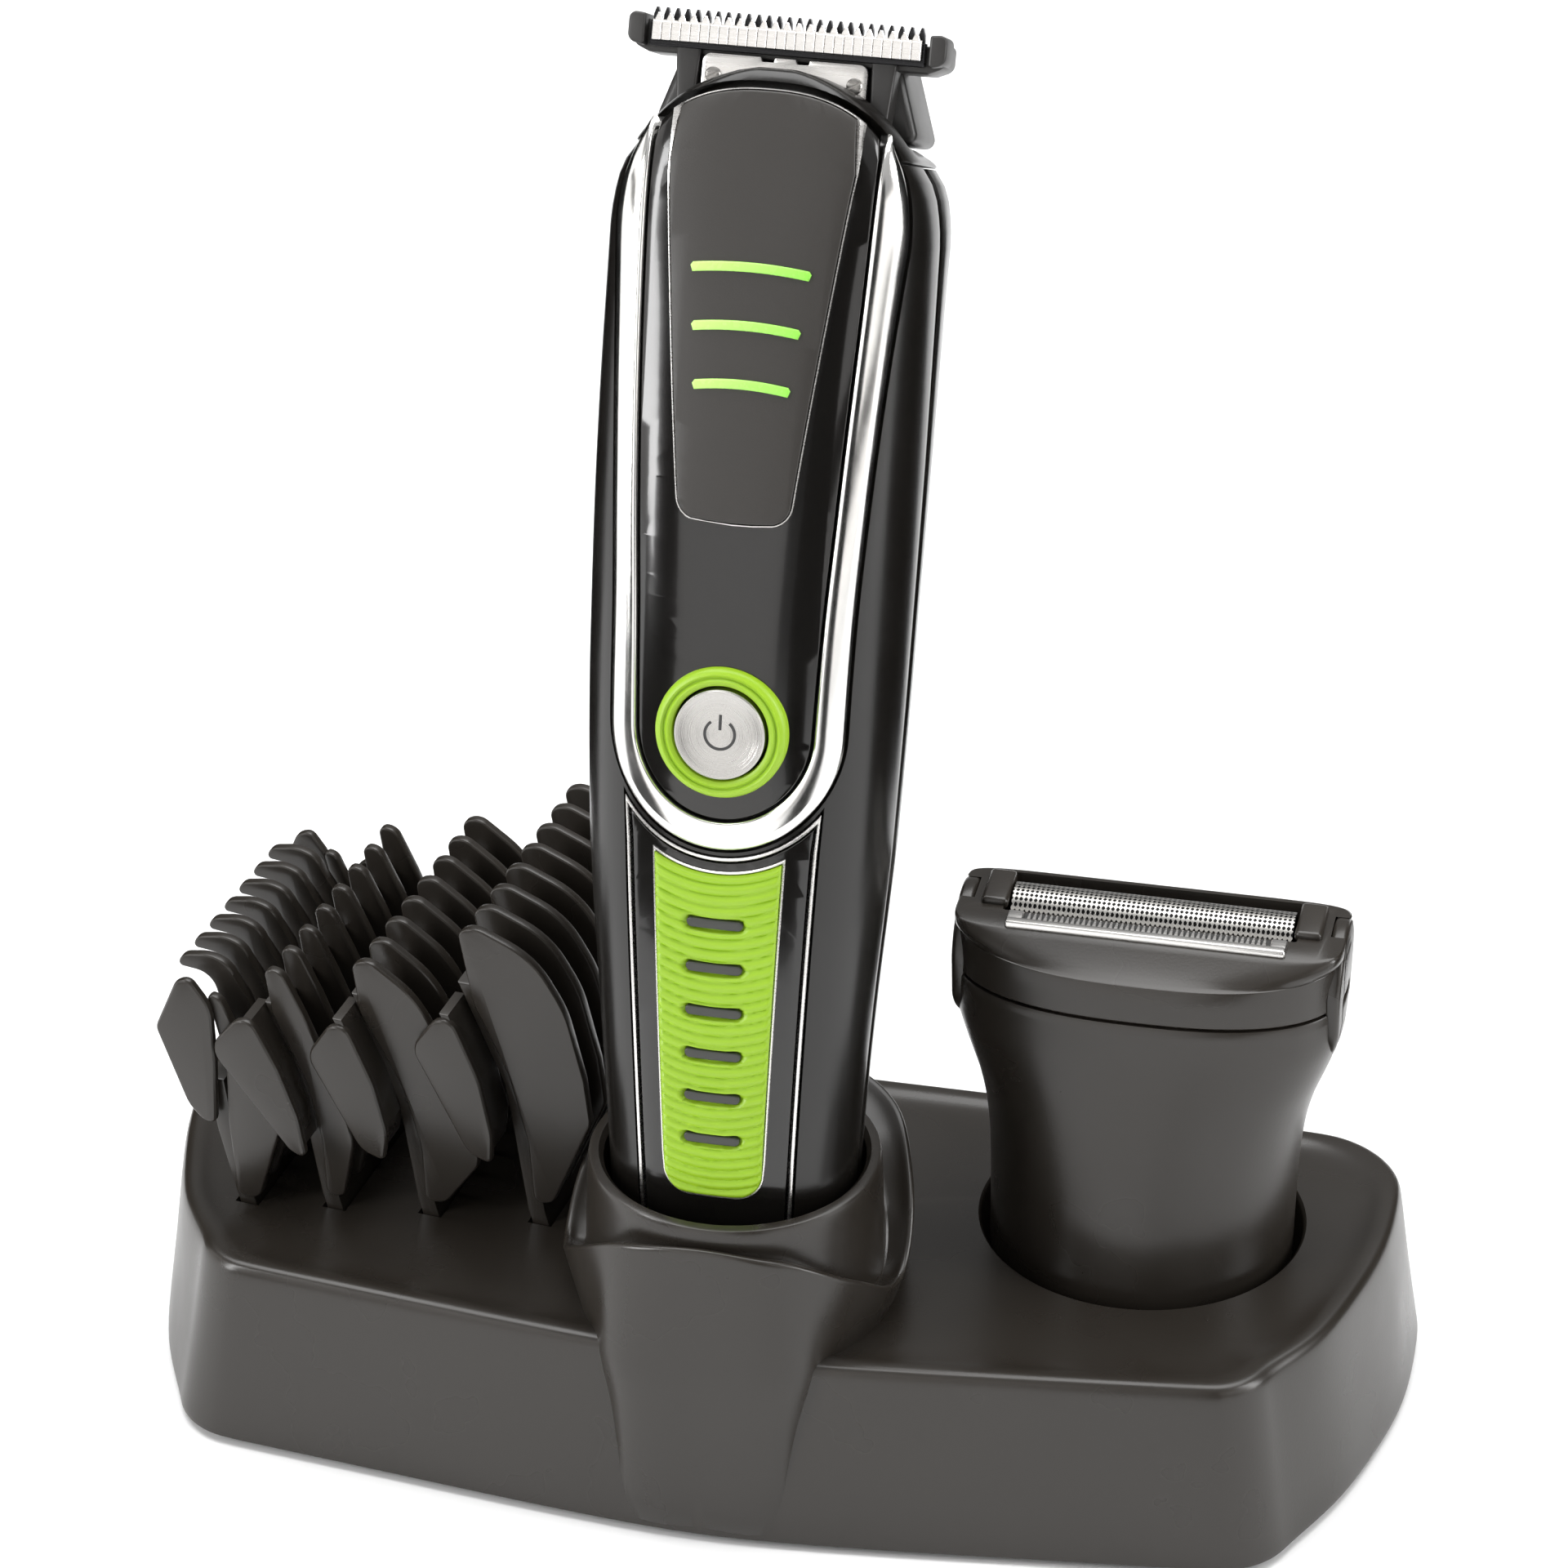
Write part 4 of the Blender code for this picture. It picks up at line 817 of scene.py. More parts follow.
lime_rubber = plastic("lime_rubber", (0.25, 0.43, 0.012), 0.34, 0.46, grain=2500.0, depth=0.12, edge_highlight=0.35)
ring_profile = ((6.1, -0.9), (6.1, 0.7), (6.2, 0.95), (6.45, 1.12), (6.75, 1.14), (7.0, 0.98), (7.12, 0.78),
                (7.22, 0.78),
                (7.34, 0.98), (7.6, 1.12), (7.95, 1.0), (8.2, 0.72), (8.36, 0.4), (8.4, 0.0), (8.4, -0.9))
ring = settle(placed(turned(ring_profile), face_frame(0, BUTTON_S)), "soft_ring", lime_rubber)
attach(ring, "trimmer")
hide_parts("button_ring")

spun_steel, tree, shader = finish_named("spun_steel",
                                        {"Metallic": 1.0, "Base Color": (0.48, 0.47, 0.455, 1.0)})
place = node(tree, "TexCoord")
centre = node(tree, "Mapping", vector_type="TEXTURE")
button_frame = face_frame(0, BUTTON_S)
centre.inputs["Location"].default_value = button_frame.translation * 0.001
centre.inputs["Rotation"].default_value = button_frame.to_euler()
flatten = node(tree, "VectorMath", {1: (1.0, 1.0, 0.0)}, operation="MULTIPLY")
radius_of = node(tree, "VectorMath", operation="LENGTH")
grooves = node(tree, "TexNoise", {"Scale": 9000.0, "Detail": 2.0}, noise_dimensions="1D")
score = node(tree, "Bump", {"Strength": 0.5, "Distance": 0.00004})
sheen = node(tree, "MapRange", {"To Min": 0.22, "To Max": 0.34})
wire(tree, (place, "Object", centre, "Vector"), (centre, "Vector", flatten, 0),
           (flatten, "Vector", radius_of, 0), (radius_of, "Value", grooves, "W"),
           (grooves, "Fac", score, "Height"), (grooves, "Fac", sheen, "Value"),
           (score, "Normal", shader, "Normal"), (sheen, "Result", shader, "Roughness"))
button_profile = ((0.0, 1.1), (2.0, 1.12), (4.0, 1.2), (5.0, 1.32), (5.35, 1.42), (5.6, 1.42), (5.75, 1.3),
                  (5.8, 1.1),
                  (5.8, -1.4), (1.6, -1.4), (1.6, -3.6), (0.0, -3.6))
button = settle(placed(turned(button_profile), button_frame), "button_cap", spun_steel)
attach(button, "button")
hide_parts("power_button")

# dark ink for the power symbol, also used for the painted shade in the trimmer strip's channel
ink_and_painted_shade = plastic("ink_and_painted_shade", (0.03, 0.03, 0.03), 0.4, 0.5, grain=2000.0, depth=0.1, edge_highlight=0.0)
symbol_rings = []
for i in range(33):
    turn = radians(128.0 + 284.0 * i / 32)
    rim = [(1.72, 1.0), (1.72, 1.17), (2.08, 1.19), (2.08, 1.0)]
    symbol_rings.append([(r * cos(turn), r * sin(turn), h) for r, h in rim])
symbol = sweep(symbol_rings)
bar_mesh = bpy.data.meshes.new("stroke")
stroke = slab((-0.19, 0.55, 1.0), (0.19, 2.55, 1.2), 0.04, 2)
stroke.to_mesh(bar_mesh)
stroke.free()
symbol.from_mesh(bar_mesh)
mark = settle(placed(symbol, button_frame), "power_mark", ink_and_painted_shade)
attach(mark, "button")

# ------------------------------------------------------------------ lower grip
# A bib of gloss black with a fine bright edge, and a soft lime insert moulded in curved ribs, through
# which six short dark bars stand.

bib = settle(face_plate(bib_outline(-0.75), -1.1, -0.2, 0.12), "gloss_bib", gloss_black)
SLOT_PLACES = [66.3 - 5.9 * i for i in range(6)]
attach(bib, "trimmer")
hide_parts("lower_fascia")
bar_colour = plastic("bar_black", (0.03, 0.032, 0.028), 0.3, 0.4, grain=2500.0, depth=0.1, edge_highlight=0.3)
for number, s in enumerate(SLOT_PLACES, 1):
    ends = arc((3.0, 0.0), 0.62, -90, 90, 9) + arc((-3.0, 0.0), 0.62, 90, 270, 9)
    outline = [(x, s + t + 0.022 * x * x) for x, t in ends]
    bar = settle(face_plate(outline, -0.5, 0.78, 0.2, 1.2), f"grip_bar_{number}", bar_colour)
    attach(bar, "trimmer")
bib_pairs = list(zip(bib_outline(-0.02), bib_outline(-0.42)))
bib_line = settle(face_band(bib_pairs, line_profile(-1.1, 0.02, 0.14), True), "bib_line", brushed)
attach(bib_line, "trimmer")
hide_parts("grip_frame")

GRIP_LOW, RIB = 28.6, 1.45


def grip_half(s):
    """Half width of the insert, with round lower corners."""
    half = 6.2 + 1.9 * (s - GRIP_LOW) / (75.0 - GRIP_LOW)
    rise = s - GRIP_LOW
    return half if rise > 3.3 else half - 3.3 + sqrt(max(3.3**2 - (3.3 - rise) ** 2, 0.0))


def grip_top(x):
    return BUTTON_S - sqrt(18.2**2 - x * x)


def grip_height(x, s):
    """Ribs that sag in the middle, fading out at the border and round the bars."""
    phase = (s - 0.028 * x * x) / RIB
    rib = abs(cos(pi * phase)) ** 0.6
    border = min((grip_half(s) - abs(x)) / 0.8, (s - GRIP_LOW) / 0.8, (grip_top(x) - s) / 0.8, 1.0)
    height = 0.12 + (0.42 + 0.42 * rib) * sqrt(max(border * (2 - border), 0.0))
    nearest = min(SLOT_PLACES, key=lambda place: abs(place - s))
    away = max(abs(x) - 3.0, 0.0)
    clear = sqrt(away**2 + (s - nearest - 0.022 * x * x) ** 2) - 0.75
    return height if clear > 0.3 else 0.12 + (height - 0.12) * max(clear, 0.0) / 0.3


grip = bmesh.new()
bmesh.ops.create_grid(grip, x_segments=46, y_segments=300, size=0.5)
for vertex in grip.verts:
    a, b = 2 * vertex.co.x, vertex.co.y + 0.5
    a = sin(a * pi / 2 * 0.97) / sin(pi / 2 * 0.97)
    low = GRIP_LOW + 0.02
    middle = low + b * (grip_top(0.0) - low)
    x = a * grip_half(middle)
    s = low + b * (grip_top(x) - low)
    x = a * max(grip_half(s), 0.05)
    vertex.co = (x, s, grip_height(x, s))
walls = bmesh.ops.extrude_edge_only(grip, edges=[e for e in grip.edges if e.is_boundary])["geom"]
for vertex in [part for part in walls if isinstance(part, bmesh.types.BMVert)]:
    vertex.co.z = -0.15
bmesh.ops.holes_fill(grip, edges=grip.edges[:])
for vertex in grip.verts:
    vertex.co = on_face(vertex.co.x, vertex.co.y, vertex.co.z)
insert = settle(grip, "ribbed_insert", lime_rubber, 60.0)
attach(insert, "trimmer")
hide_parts("grip_insert")


def insert_outline(grow):
    right = [(0, GRIP_LOW - grow)] + arc((2.95, GRIP_LOW + 3.3), 3.3 + grow, -90, 0, 11)
    right += [(grip_half(s) + grow, s) for s in np.linspace(34, 73, 12)]
    radius = 18.2 - grow
    right += arc((0, BUTTON_S), radius, -degrees(acos((8.1 + grow) / radius)), -90, 11)
    return both_sides(right)


insert_pairs = list(zip(insert_outline(0.08), insert_outline(0.42)))
insert_line = settle(face_band(insert_pairs, line_profile(-0.8, 0.0, 0.12), True), "insert_line", brushed)
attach(insert_line, "trimmer")

# ------------------------------------------------------------------ cutting head
# A black nylon frame carries the T-blade: it flares down at the back, and two arms and a T-bar with
# solid ends hold the ground fixed blade, over which the bright moving blade strokes sideways.

HEAD_S = 165.0
head_lean = body_line(HEAD_S)[2]
head_frame_matrix = Matrix.Translation(in_body(0, HEAD_S, 0)) @ Matrix.Rotation(-head_lean, 4, "X")
upright = head_frame_matrix @ Matrix.Rotation(pi / 2, 4, "X") @ Matrix.Translation((0, -HEAD_S, 0))


def plate(corners, low, high, edge=0.0, segments=2):
    """A flat plate from its corners, each with its own rounding radius, and with eased edges."""
    points = [Vector(corner[:2]) for corner in corners]
    radii = [corner[2] if len(corner) > 2 else 0.0 for corner in corners]
    turning = sum(a.cross(b) for a, b in zip(points, points[1:] + points[:1]))

    def ring(inset, height):
        outline = []
        for i, here in enumerate(points):
            back, ahead = points[i - 1] - here, points[(i + 1) % len(points)] - here
            room = 0.47 * min(back.length, ahead.length)
            back.normalize()
            ahead.normalize()
            half = max(acos(max(-1.0, min(1.0, back.dot(ahead)))) / 2, 0.1)
            middle = (back + ahead).normalized() if half < 1.56 else Vector((ahead.y, -ahead.x))
            outer = 1 if ahead.cross(back) * turning > 0 else -1
            radius = min(radii[i], room * tan(min(half, 1.5)))
            if radius < 0.05 or half > 1.5:
                outline.append(here + middle * (outer * inset / sin(half)))
                continue
            centre = here + middle * (radius / sin(half))
            reach = max(radius - outer * inset, 0.02)
            first = (here + back * (radius / tan(half)) - centre).normalized()
            second = (here + ahead * (radius / tan(half)) - centre).normalized()
            for share in range(7):
                outline.append(centre + first.slerp(second, share / 6) * reach)
        return [(x, y, height) for x, y in outline]

    turns = [pi / 2 * i / segments for i in range(segments + 1)]
    steps = [(edge * (1 - sin(turn)), edge * (1 - cos(turn))) for turn in turns]
    if not edge:
        return sweep([ring(0.0, low), ring(0.0, high)])
    rings = [ring(inset, low + up) for inset, up in steps]
    return sweep(rings + [ring(inset, high - up) for inset, up in reversed(steps)])


def gathered(parts):
    """Several meshes as one."""
    whole = bmesh.new()
    for part in parts:
        mesh = bpy.data.meshes.new("part")
        part.to_mesh(mesh)
        part.free()
        whole.from_mesh(mesh)
        bpy.data.meshes.remove(mesh)
    return whole


nylon = plastic("black_moulding", (0.02, 0.019, 0.018), 0.34, 0.44, grain=2600.0, depth=0.12, edge_highlight=0.3)
base = [(-16.9, 162.4, 1.2), (16.9, 162.4, 1.2), (13.5, 172.6, 0.8), (-13.5, 172.6, 0.8)]
head = settle(placed(plate(base, -12.0, 3.0, 0.9, 3), upright), "head_moulding", nylon)
root = [(-9.0, 155.5), (9.0, 155.5), (9.0, 163.4), (-9.0, 163.4)]
carve(head, placed(plate(root, -8.0, 6.0, 0.3), upright), "UNION")
for side in (-1, 1):
    arm = [(13.2 * side, 162.8, 0.5), (11.2 * side, 162.8, 0.5), (10.7 * side, 172.3), (13.9 * side, 172.3)]
    carve(head, placed(plate(arm[::side], 1.4, 6.8, 0.35, 3), upright), "UNION")
bar = [(-19.7, 171.9, 1.3), (-17.6, 171.0, 0.6), (17.6, 171.0, 0.6), (19.7, 171.9, 1.3), (19.7, 175.0, 0.8),
       (17.5, 175.0, 0.0), (17.5, 174.4, 0.0), (-17.5, 174.4, 0.0), (-17.5, 175.0, 0.0), (-19.7, 175.0, 0.8)]
carve(head, placed(plate(bar, -2.0, 5.5, 0.35, 3), upright), "UNION")
for side in (-1, 1):
    end = [(17.85 * side, 171.6, 0.4), (20.0 * side, 172.1, 1.2), (20.0 * side, 175.8, 1.0),
           (17.85 * side, 175.6, 0.35)]
    carve(head, placed(plate(end[::side], 2.0, 7.7, 0.3, 3), upright), "UNION")
carve(head, placed(slab((-6.4, 150.0, -3.4), (6.4, 169.6, 3.4)), upright))
carve(head, placed(slab((-3.2, 165.0, -2.6), (3.2, 180.0, 2.6)), upright))
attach(head, "head")
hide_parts("head_frame")


def other_metal(name, dull, bright):
    """The brushed steel, with other tones for its hollows and its strokes."""
    made = brushed.copy()
    made.name = name
    for part in made.node_tree.nodes:
        if part.bl_idname == "ShaderNodeMix":
            part.inputs["A"].default_value = (*dull, 1.0)
            part.inputs["B"].default_value = (*bright, 1.0)
    return made


dark_steel = other_metal("dark_steel", (0.2, 0.19, 0.18), (0.42, 0.41, 0.39))
blued_steel = other_metal("blued_steel", (0.015, 0.015, 0.016), (0.04, 0.04, 0.042))

# 27 ground teeth, pointed and hollowed on both flanks
TEETH, GROUND_X = 27, 17.3
teeth = []
pitch = 2 * GROUND_X / TEETH
for i in range(TEETH):
    x = -GROUND_X + (i + 0.5) * pitch
    tooth = [(x - 0.42, 174.2), (x + 0.42, 174.2), (x + 0.4, 175.6), (x + 0.12, 176.5), (x - 0.12, 176.5),
             (x - 0.4, 175.6)]
    teeth.append(plate(tooth, 5.95, 6.85, 0.07, 1))
back = [(-GROUND_X, 171.7, 0.3), (GROUND_X, 171.7, 0.3), (GROUND_X, 174.6, 0.0), (-GROUND_X, 174.6, 0.0)]
fixed = settle(placed(plate(back, 5.8, 6.9, 0.08, 1), upright), "ground_blade", blued_steel, 25.0)
carve(fixed, placed(gathered(teeth), upright), "UNION", 25.0)
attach(fixed, "head")
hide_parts("fixed_blade")

# the moving blade: a bright bar scored between its 23 teeth, which run up to a zigzag edge
BLADE_X = 16.9
blade_parts = [slab((-BLADE_X, 172.5, 7.2), (BLADE_X, 174.9, 7.7))]
pitch = 2 * BLADE_X / 28
for i in range(28):
    x = -BLADE_X + i * pitch
    blade_parts.append(slab((x + 0.05, 172.42, 7.3), (x + pitch - 0.05, 174.7, 7.98), 0.05, 1))
pitch = 2 * BLADE_X / 23
for i in range(23):
    x = -BLADE_X + (i + 0.5) * pitch
    tooth = [(x - 0.62, 174.4), (x + 0.62, 174.4), (x + 0.5, 174.9), (x + 0.16, 175.75), (x - 0.16, 175.75),
             (x - 0.5, 174.9)]
    blade_parts.append(plate(tooth, 7.25, 7.9, 0.08, 1))
moving = settle(placed(gathered(blade_parts), upright), "stroking_blade", brushed, 25.0)
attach(moving, "blade")
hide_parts("moving_blade")

# the bright plate behind the blades, notched twice at the top and held by two slotted screws
cover = [(-10.4, 163.6, 0.8), (10.4, 163.6, 0.8), (10.4, 171.4, 1.1), (3.1, 171.4, 0.2), (2.9, 170.8, 0.2),
         (1.5, 170.8, 0.2), (1.3, 171.4, 0.2), (-1.3, 171.4, 0.2), (-1.5, 170.8, 0.2), (-2.9, 170.8, 0.2),
         (-3.1, 171.4, 0.2), (-10.4, 171.4, 1.1)]
blade_cover = settle(placed(plate(cover, 6.0, 6.9, 0.15), upright), "blade_cover", brushed)
SCREW_X, SCREW_S = 8.9, 168.7
for x in (-SCREW_X, SCREW_X):
    carve(blade_cover, placed(drum(4.0, 9.0, 0.75, sides=24), upright @ Matrix.Translation((x, SCREW_S, 0))))
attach(blade_cover, "head")
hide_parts("blade_plate")
head_profile = ((0.0, 7.45), (0.5, 7.44), (0.85, 7.36), (1.0, 7.2), (1.0, 6.95), (0.45, 6.95), (0.45, 6.1),
                (0.0, 6.1))
for name, x in (("left", -SCREW_X), ("right", SCREW_X)):
    seat = upright @ Matrix.Translation((x, SCREW_S, 0))
    screw = settle(placed(turned(head_profile, 32), seat), f"cover_screw_{name}", dark_steel)
    driver_slot = slab((-1.2, -0.13, 7.2), (1.2, 0.13, 8.0))
    carve(screw, placed(driver_slot, seat @ Matrix.Rotation(0.5, 4, "Z")))
    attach(screw, "head")
    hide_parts(f"plate_screw_{name}")

# ------------------------------------------------------------------ foil head
# A second head, standing in its well: a flared neck of satin charcoal, a cover with a crescent edge,
# two rounded end caps, an arched foil of pierced steel over its cutter, and a toothed trimmer strip.


def oblong(half_x, half_y, power, height, steps=96, rear=1.0):
    """A ring between an ellipse and a box; height may depend on how far out the point lies."""
    ring = []
    for i in range(steps):
        turn = 2 * pi * i / steps
        x = abs(cos(turn)) ** (2 / power) * (1 if cos(turn) > 0 else -1)
        y = abs(sin(turn)) ** (2 / power) * (1 if sin(turn) > 0 else -1)
        level = height(x, y) if callable(height) else height
        ring.append((FOIL_X + half_x * x, FOIL_Y + half_y * y * (rear if y > 0 else 1.0), level))
    return ring


NECK_Z = (9.0, 27.0, 34.0, 40.0, 46.0, 51.0, 55.0, 58.0, 61.2, 66.4)
neck_x = smooth_through(NECK_Z, (20.4, 20.6, 20.7, 20.9, 21.5, 22.6, 24.0, 25.0, 25.8, 26.0), True)
neck_y = smooth_through(NECK_Z, (20.2, 20.0, 19.4, 18.4, 17.4, 16.6, 16.0, 15.6, 15.3, 15.2), True)
neck_power = smooth_through(NECK_Z, (2.0, 2.0, 2.02, 2.08, 2.18, 2.28, 2.36, 2.42, 2.47, 2.5))
neck_rows = [oblong(neck_x(9.0) - 0.4, neck_y(9.0) - 0.4, 2.0, 9.0),
             oblong(neck_x(9.4), neck_y(9.4), 2.0, 9.4)]
neck_rows += [oblong(neck_x(z), neck_y(z), neck_power(z), z) for z in np.linspace(11, 66.1, 46)]
neck_rows += [oblong(25.85, 15.05, 2.5, 66.4)]
neck = settle(sweep(neck_rows), "foil_neck", satin_charcoal)
core = [oblong(18.2, 18.0, 2.0, 5.0)]
core += [oblong(neck_x(z) - 2.0, neck_y(z) - 2.0, neck_power(z), z) for z in np.linspace(11.3, 65.3, 16)]
carve(neck, sweep(core + [oblong(24.0, 13.2, 2.5, 70.0)]))


def cap_corners(grow):
    """Outline of an end cap seen from the side: a round top and a blunt point below."""
    radius = 7.6 + grow
    turns = np.linspace(0.05, pi - 0.05, 25)
    top = [(FOIL_Y + radius * cos(turn), 68.4 + radius * sin(turn)) for turn in turns]
    return top + [(FOIL_Y - 6.6 - grow, 61.0, 6.0), (FOIL_Y - 0.4, 55.2 - grow, 1.4),
                  (FOIL_Y + 5.6 + grow, 60.0, 3.0)]


def end_plate(side, grow, edge):
    """Stands a plate on end across the foil head."""
    low, high = 23.6 - grow, 25.7 + grow
    bm = plate(cap_corners(grow), min(side * low, side * high), max(side * low, side * high), edge, 3)
    for height in (57.0, 59.0, 61.0, 63.0):
        geometry = bm.verts[:] + bm.edges[:] + bm.faces[:]
        bmesh.ops.bisect_plane(bm, geom=geometry, plane_co=(0, height, 0), plane_no=(0, 1, 0), dist=1e-4)
    for vertex in bm.verts:
        vertex.co.z -= side * 1.5 * max(0.0, (63.0 - vertex.co.y) / 7.8) ** 1.4
    swap = Matrix(((0, 0, 1, FOIL_X), (1, 0, 0, 0), (0, 1, 0, 0), (0, 0, 0, 1)))
    return placed(bm, swap)


for side in (-1, 1):
    carve(neck, end_plate(side, 0.06, 0.0))
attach(neck, "foil_head")
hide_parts("foil_housing")


def crescent(x, y):
    """The edge where the cover's wall turns back, a little higher at the ends."""
    return 72.2 + 0.9 * min(abs(x), 1.0) ** 2.5 - 4.0 * max(y, 0.0)


cover_rows = [oblong(25.6, 14.85, 2.5, 66.7), oblong(25.9, 15.1, 2.5, 67.0), oblong(25.95, 15.05, 2.52, 69.5)]
cover_rows += [oblong(25.95, 14.95, 2.55, lambda x, y: crescent(x, y) - 0.3)]
cover_rows += [oblong(25.9, 14.8, 2.6, lambda x, y: crescent(x, y) - 0.05)]
cover_rows += [oblong(25.88, 14.5, 2.65, crescent)]


def turned_back(share):
    """A ring of the cover's shoulder, from the crescent edge in towards the foil."""
    def level(x, y):
        return crescent(x, y) + (75.5 - crescent(x, y)) * share**1.15

    half_x, half_y, power = 25.88 - 0.3 * share, 14.5 - 5.0 * share, 2.65 + 5.35 * share**1.5
    return oblong(half_x, half_y, power, level, rear=1.0 - 0.35 * share)


cover_rows += [turned_back(share) for share in (0.12, 0.3, 0.5, 0.7, 0.86, 0.95)]
cover_rows += [oblong(25.4, 9.2, 8.0, 75.6, rear=0.6)]
hood = settle(sweep(cover_rows), "foil_hood", satin_charcoal)
carve(hood, sweep([oblong(23.4, 12.6, 2.5, 55.0),
                   oblong(23.4, 12.4, 2.5, lambda x, y: 70.4 - 4.2 * max(y, 0.0)),
                   oblong(21.5, 7.6, 3.0, 74.0, rear=0.62)]))
carve(hood, slab((FOIL_X - 19.4, FOIL_Y - 4.9, 60.0), (FOIL_X + 19.4, FOIL_Y + 4.9, 90.0), 0.4))
for side in (-1, 1):
    carve(hood, end_plate(side, 0.06, 0.0))
for side in (-1, 1):
    block = slab((FOIL_X + side * 20.7 - 1.8, FOIL_Y - 3.9, 74.9),
                 (FOIL_X + side * 20.7 + 1.8, FOIL_Y + 4.1, 76.5), 0.6)
    carve(hood, block, "UNION")
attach(hood, "foil_head")
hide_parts("foil_cover")
for side, name in ((-1, "left"), (1, "right")):
    cheek = settle(end_plate(side, 0.0, 0.6), f"foil_cheek_{name}", satin_charcoal)
    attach(cheek, "foil_head")
    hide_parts(f"end_cap_{name}")

# the foil: 0.6 mm of arched steel, pierced all over; its holes are dark and sunk into the surface
foil_steel, tree, shader = finish_named("pierced_steel", {"Metallic": 1.0, "Roughness": 0.3})
place = node(tree, "TexCoord")
weave = node(tree, "Mapping", {"Rotation": (0.0, 0.0, radians(45.0)), "Scale": (1100.0, 1100.0, 1100.0)})
split = node(tree, "SeparateXYZ")
waves = []
for axis in ("X", "Y"):
    wave = node(tree, "Math", operation="SINE")
    turns_of = node(tree, "Math", {1: 2 * pi}, operation="MULTIPLY")
    wire(tree, (split, axis, turns_of, 0), (turns_of, 0, wave, 0))
    waves.append(wave)
pierced = node(tree, "Math", operation="MULTIPLY")
holes = node(tree, "MapRange", {"From Min": 0.05, "From Max": 0.3})
tone = node(tree, "Mix", {"A": (0.42, 0.41, 0.39, 1.0), "B": (0.012, 0.012, 0.012, 1.0)}, data_type="RGBA")
sink = node(tree, "Bump", {"Strength": 0.6, "Distance": 0.0002}, invert=True)
wire(tree, (place, "Object", weave, "Vector"), (weave, "Vector", split, 0))
tree.links.new(waves[0].outputs[0], pierced.inputs[0])
tree.links.new(waves[1].outputs[0], pierced.inputs[1])
wire(tree, (pierced, 0, holes, "Value"), (holes, "Result", tone, "Factor"),
           (tone, "Result", shader, "Base Color"), (holes, "Result", sink, "Height"),
           (sink, "Normal", shader, "Normal"))


def arch_ring(radius, base, x):
    middle = [(FOIL_X + x, FOIL_Y + radius * cos(a), 72.6 + radius * sin(a)) for a in np.linspace(0, pi, 33)]
    return [(FOIL_X + x, FOIL_Y + radius, base)] + middle + [(FOIL_X + x, FOIL_Y - radius, base)]


foil_rings = []
for x in np.linspace(-18.6, 18.6, 13):
    foil_rings.append(arch_ring(3.9, 66.0, x) + arch_ring(3.4, 66.0, x)[::-1])
foil = settle(sweep(foil_rings), "pierced_foil", foil_steel, 60.0)
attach(foil, "foil_head")
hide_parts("foil")

# the trimmer strip: a bright lip along the front, with a row of fine teeth over a dark slab, painted shade
# for the channel under them
strip_parts = [slab((FOIL_X - 18.4, FOIL_Y - 9.2, 75.3), (FOIL_X + 18.4, FOIL_Y - 7.7, 76.5), 0.4, 3),
               slab((FOIL_X - 18.2, FOIL_Y - 8.2, 75.4), (FOIL_X + 18.2, FOIL_Y - 5.8, 75.8), 0.1, 1)]
for x in (-17.3, 17.3):
    strip_parts.append(slab((FOIL_X + x - 1.1, FOIL_Y - 8.6, 75.5),
                            (FOIL_X + x + 1.1, FOIL_Y - 5.85, 76.45), 0.35, 3))
pitch = 31.6 / 44
for i in range(44):
    x = FOIL_X - 15.8 + (i + 0.5) * pitch
    tooth = [(x - 0.26, FOIL_Y - 7.8), (x + 0.26, FOIL_Y - 7.8), (x + 0.12, FOIL_Y - 6.2),
             (x - 0.12, FOIL_Y - 6.2)]
    strip_parts.append(plate(tooth, 76.0, 76.4, 0.05, 1))
strip = settle(gathered(strip_parts), "toothed_strip", brushed, 25.0)
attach(strip, "foil_head")
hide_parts("trimmer_strip")
# a thin black slab under the teeth paints the shade that falls in the channel between them
shade_slab = slab((FOIL_X - 16.2, FOIL_Y - 7.75, 75.6), (FOIL_X + 16.2, FOIL_Y - 5.7, 75.95), 0.05, 1)
channel_shade = settle(shade_slab, "painted_channel_shade", ink_and_painted_shade)
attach(channel_shade, "foil_head")

# ------------------------------------------------------------------ guard combs
# Four nylon combs for growing lengths, standing in the deck on leaning tongues. Each has two cheeks
# with a back lobe, a grooved spine between them and a row of thin plates with rounded upper edges.

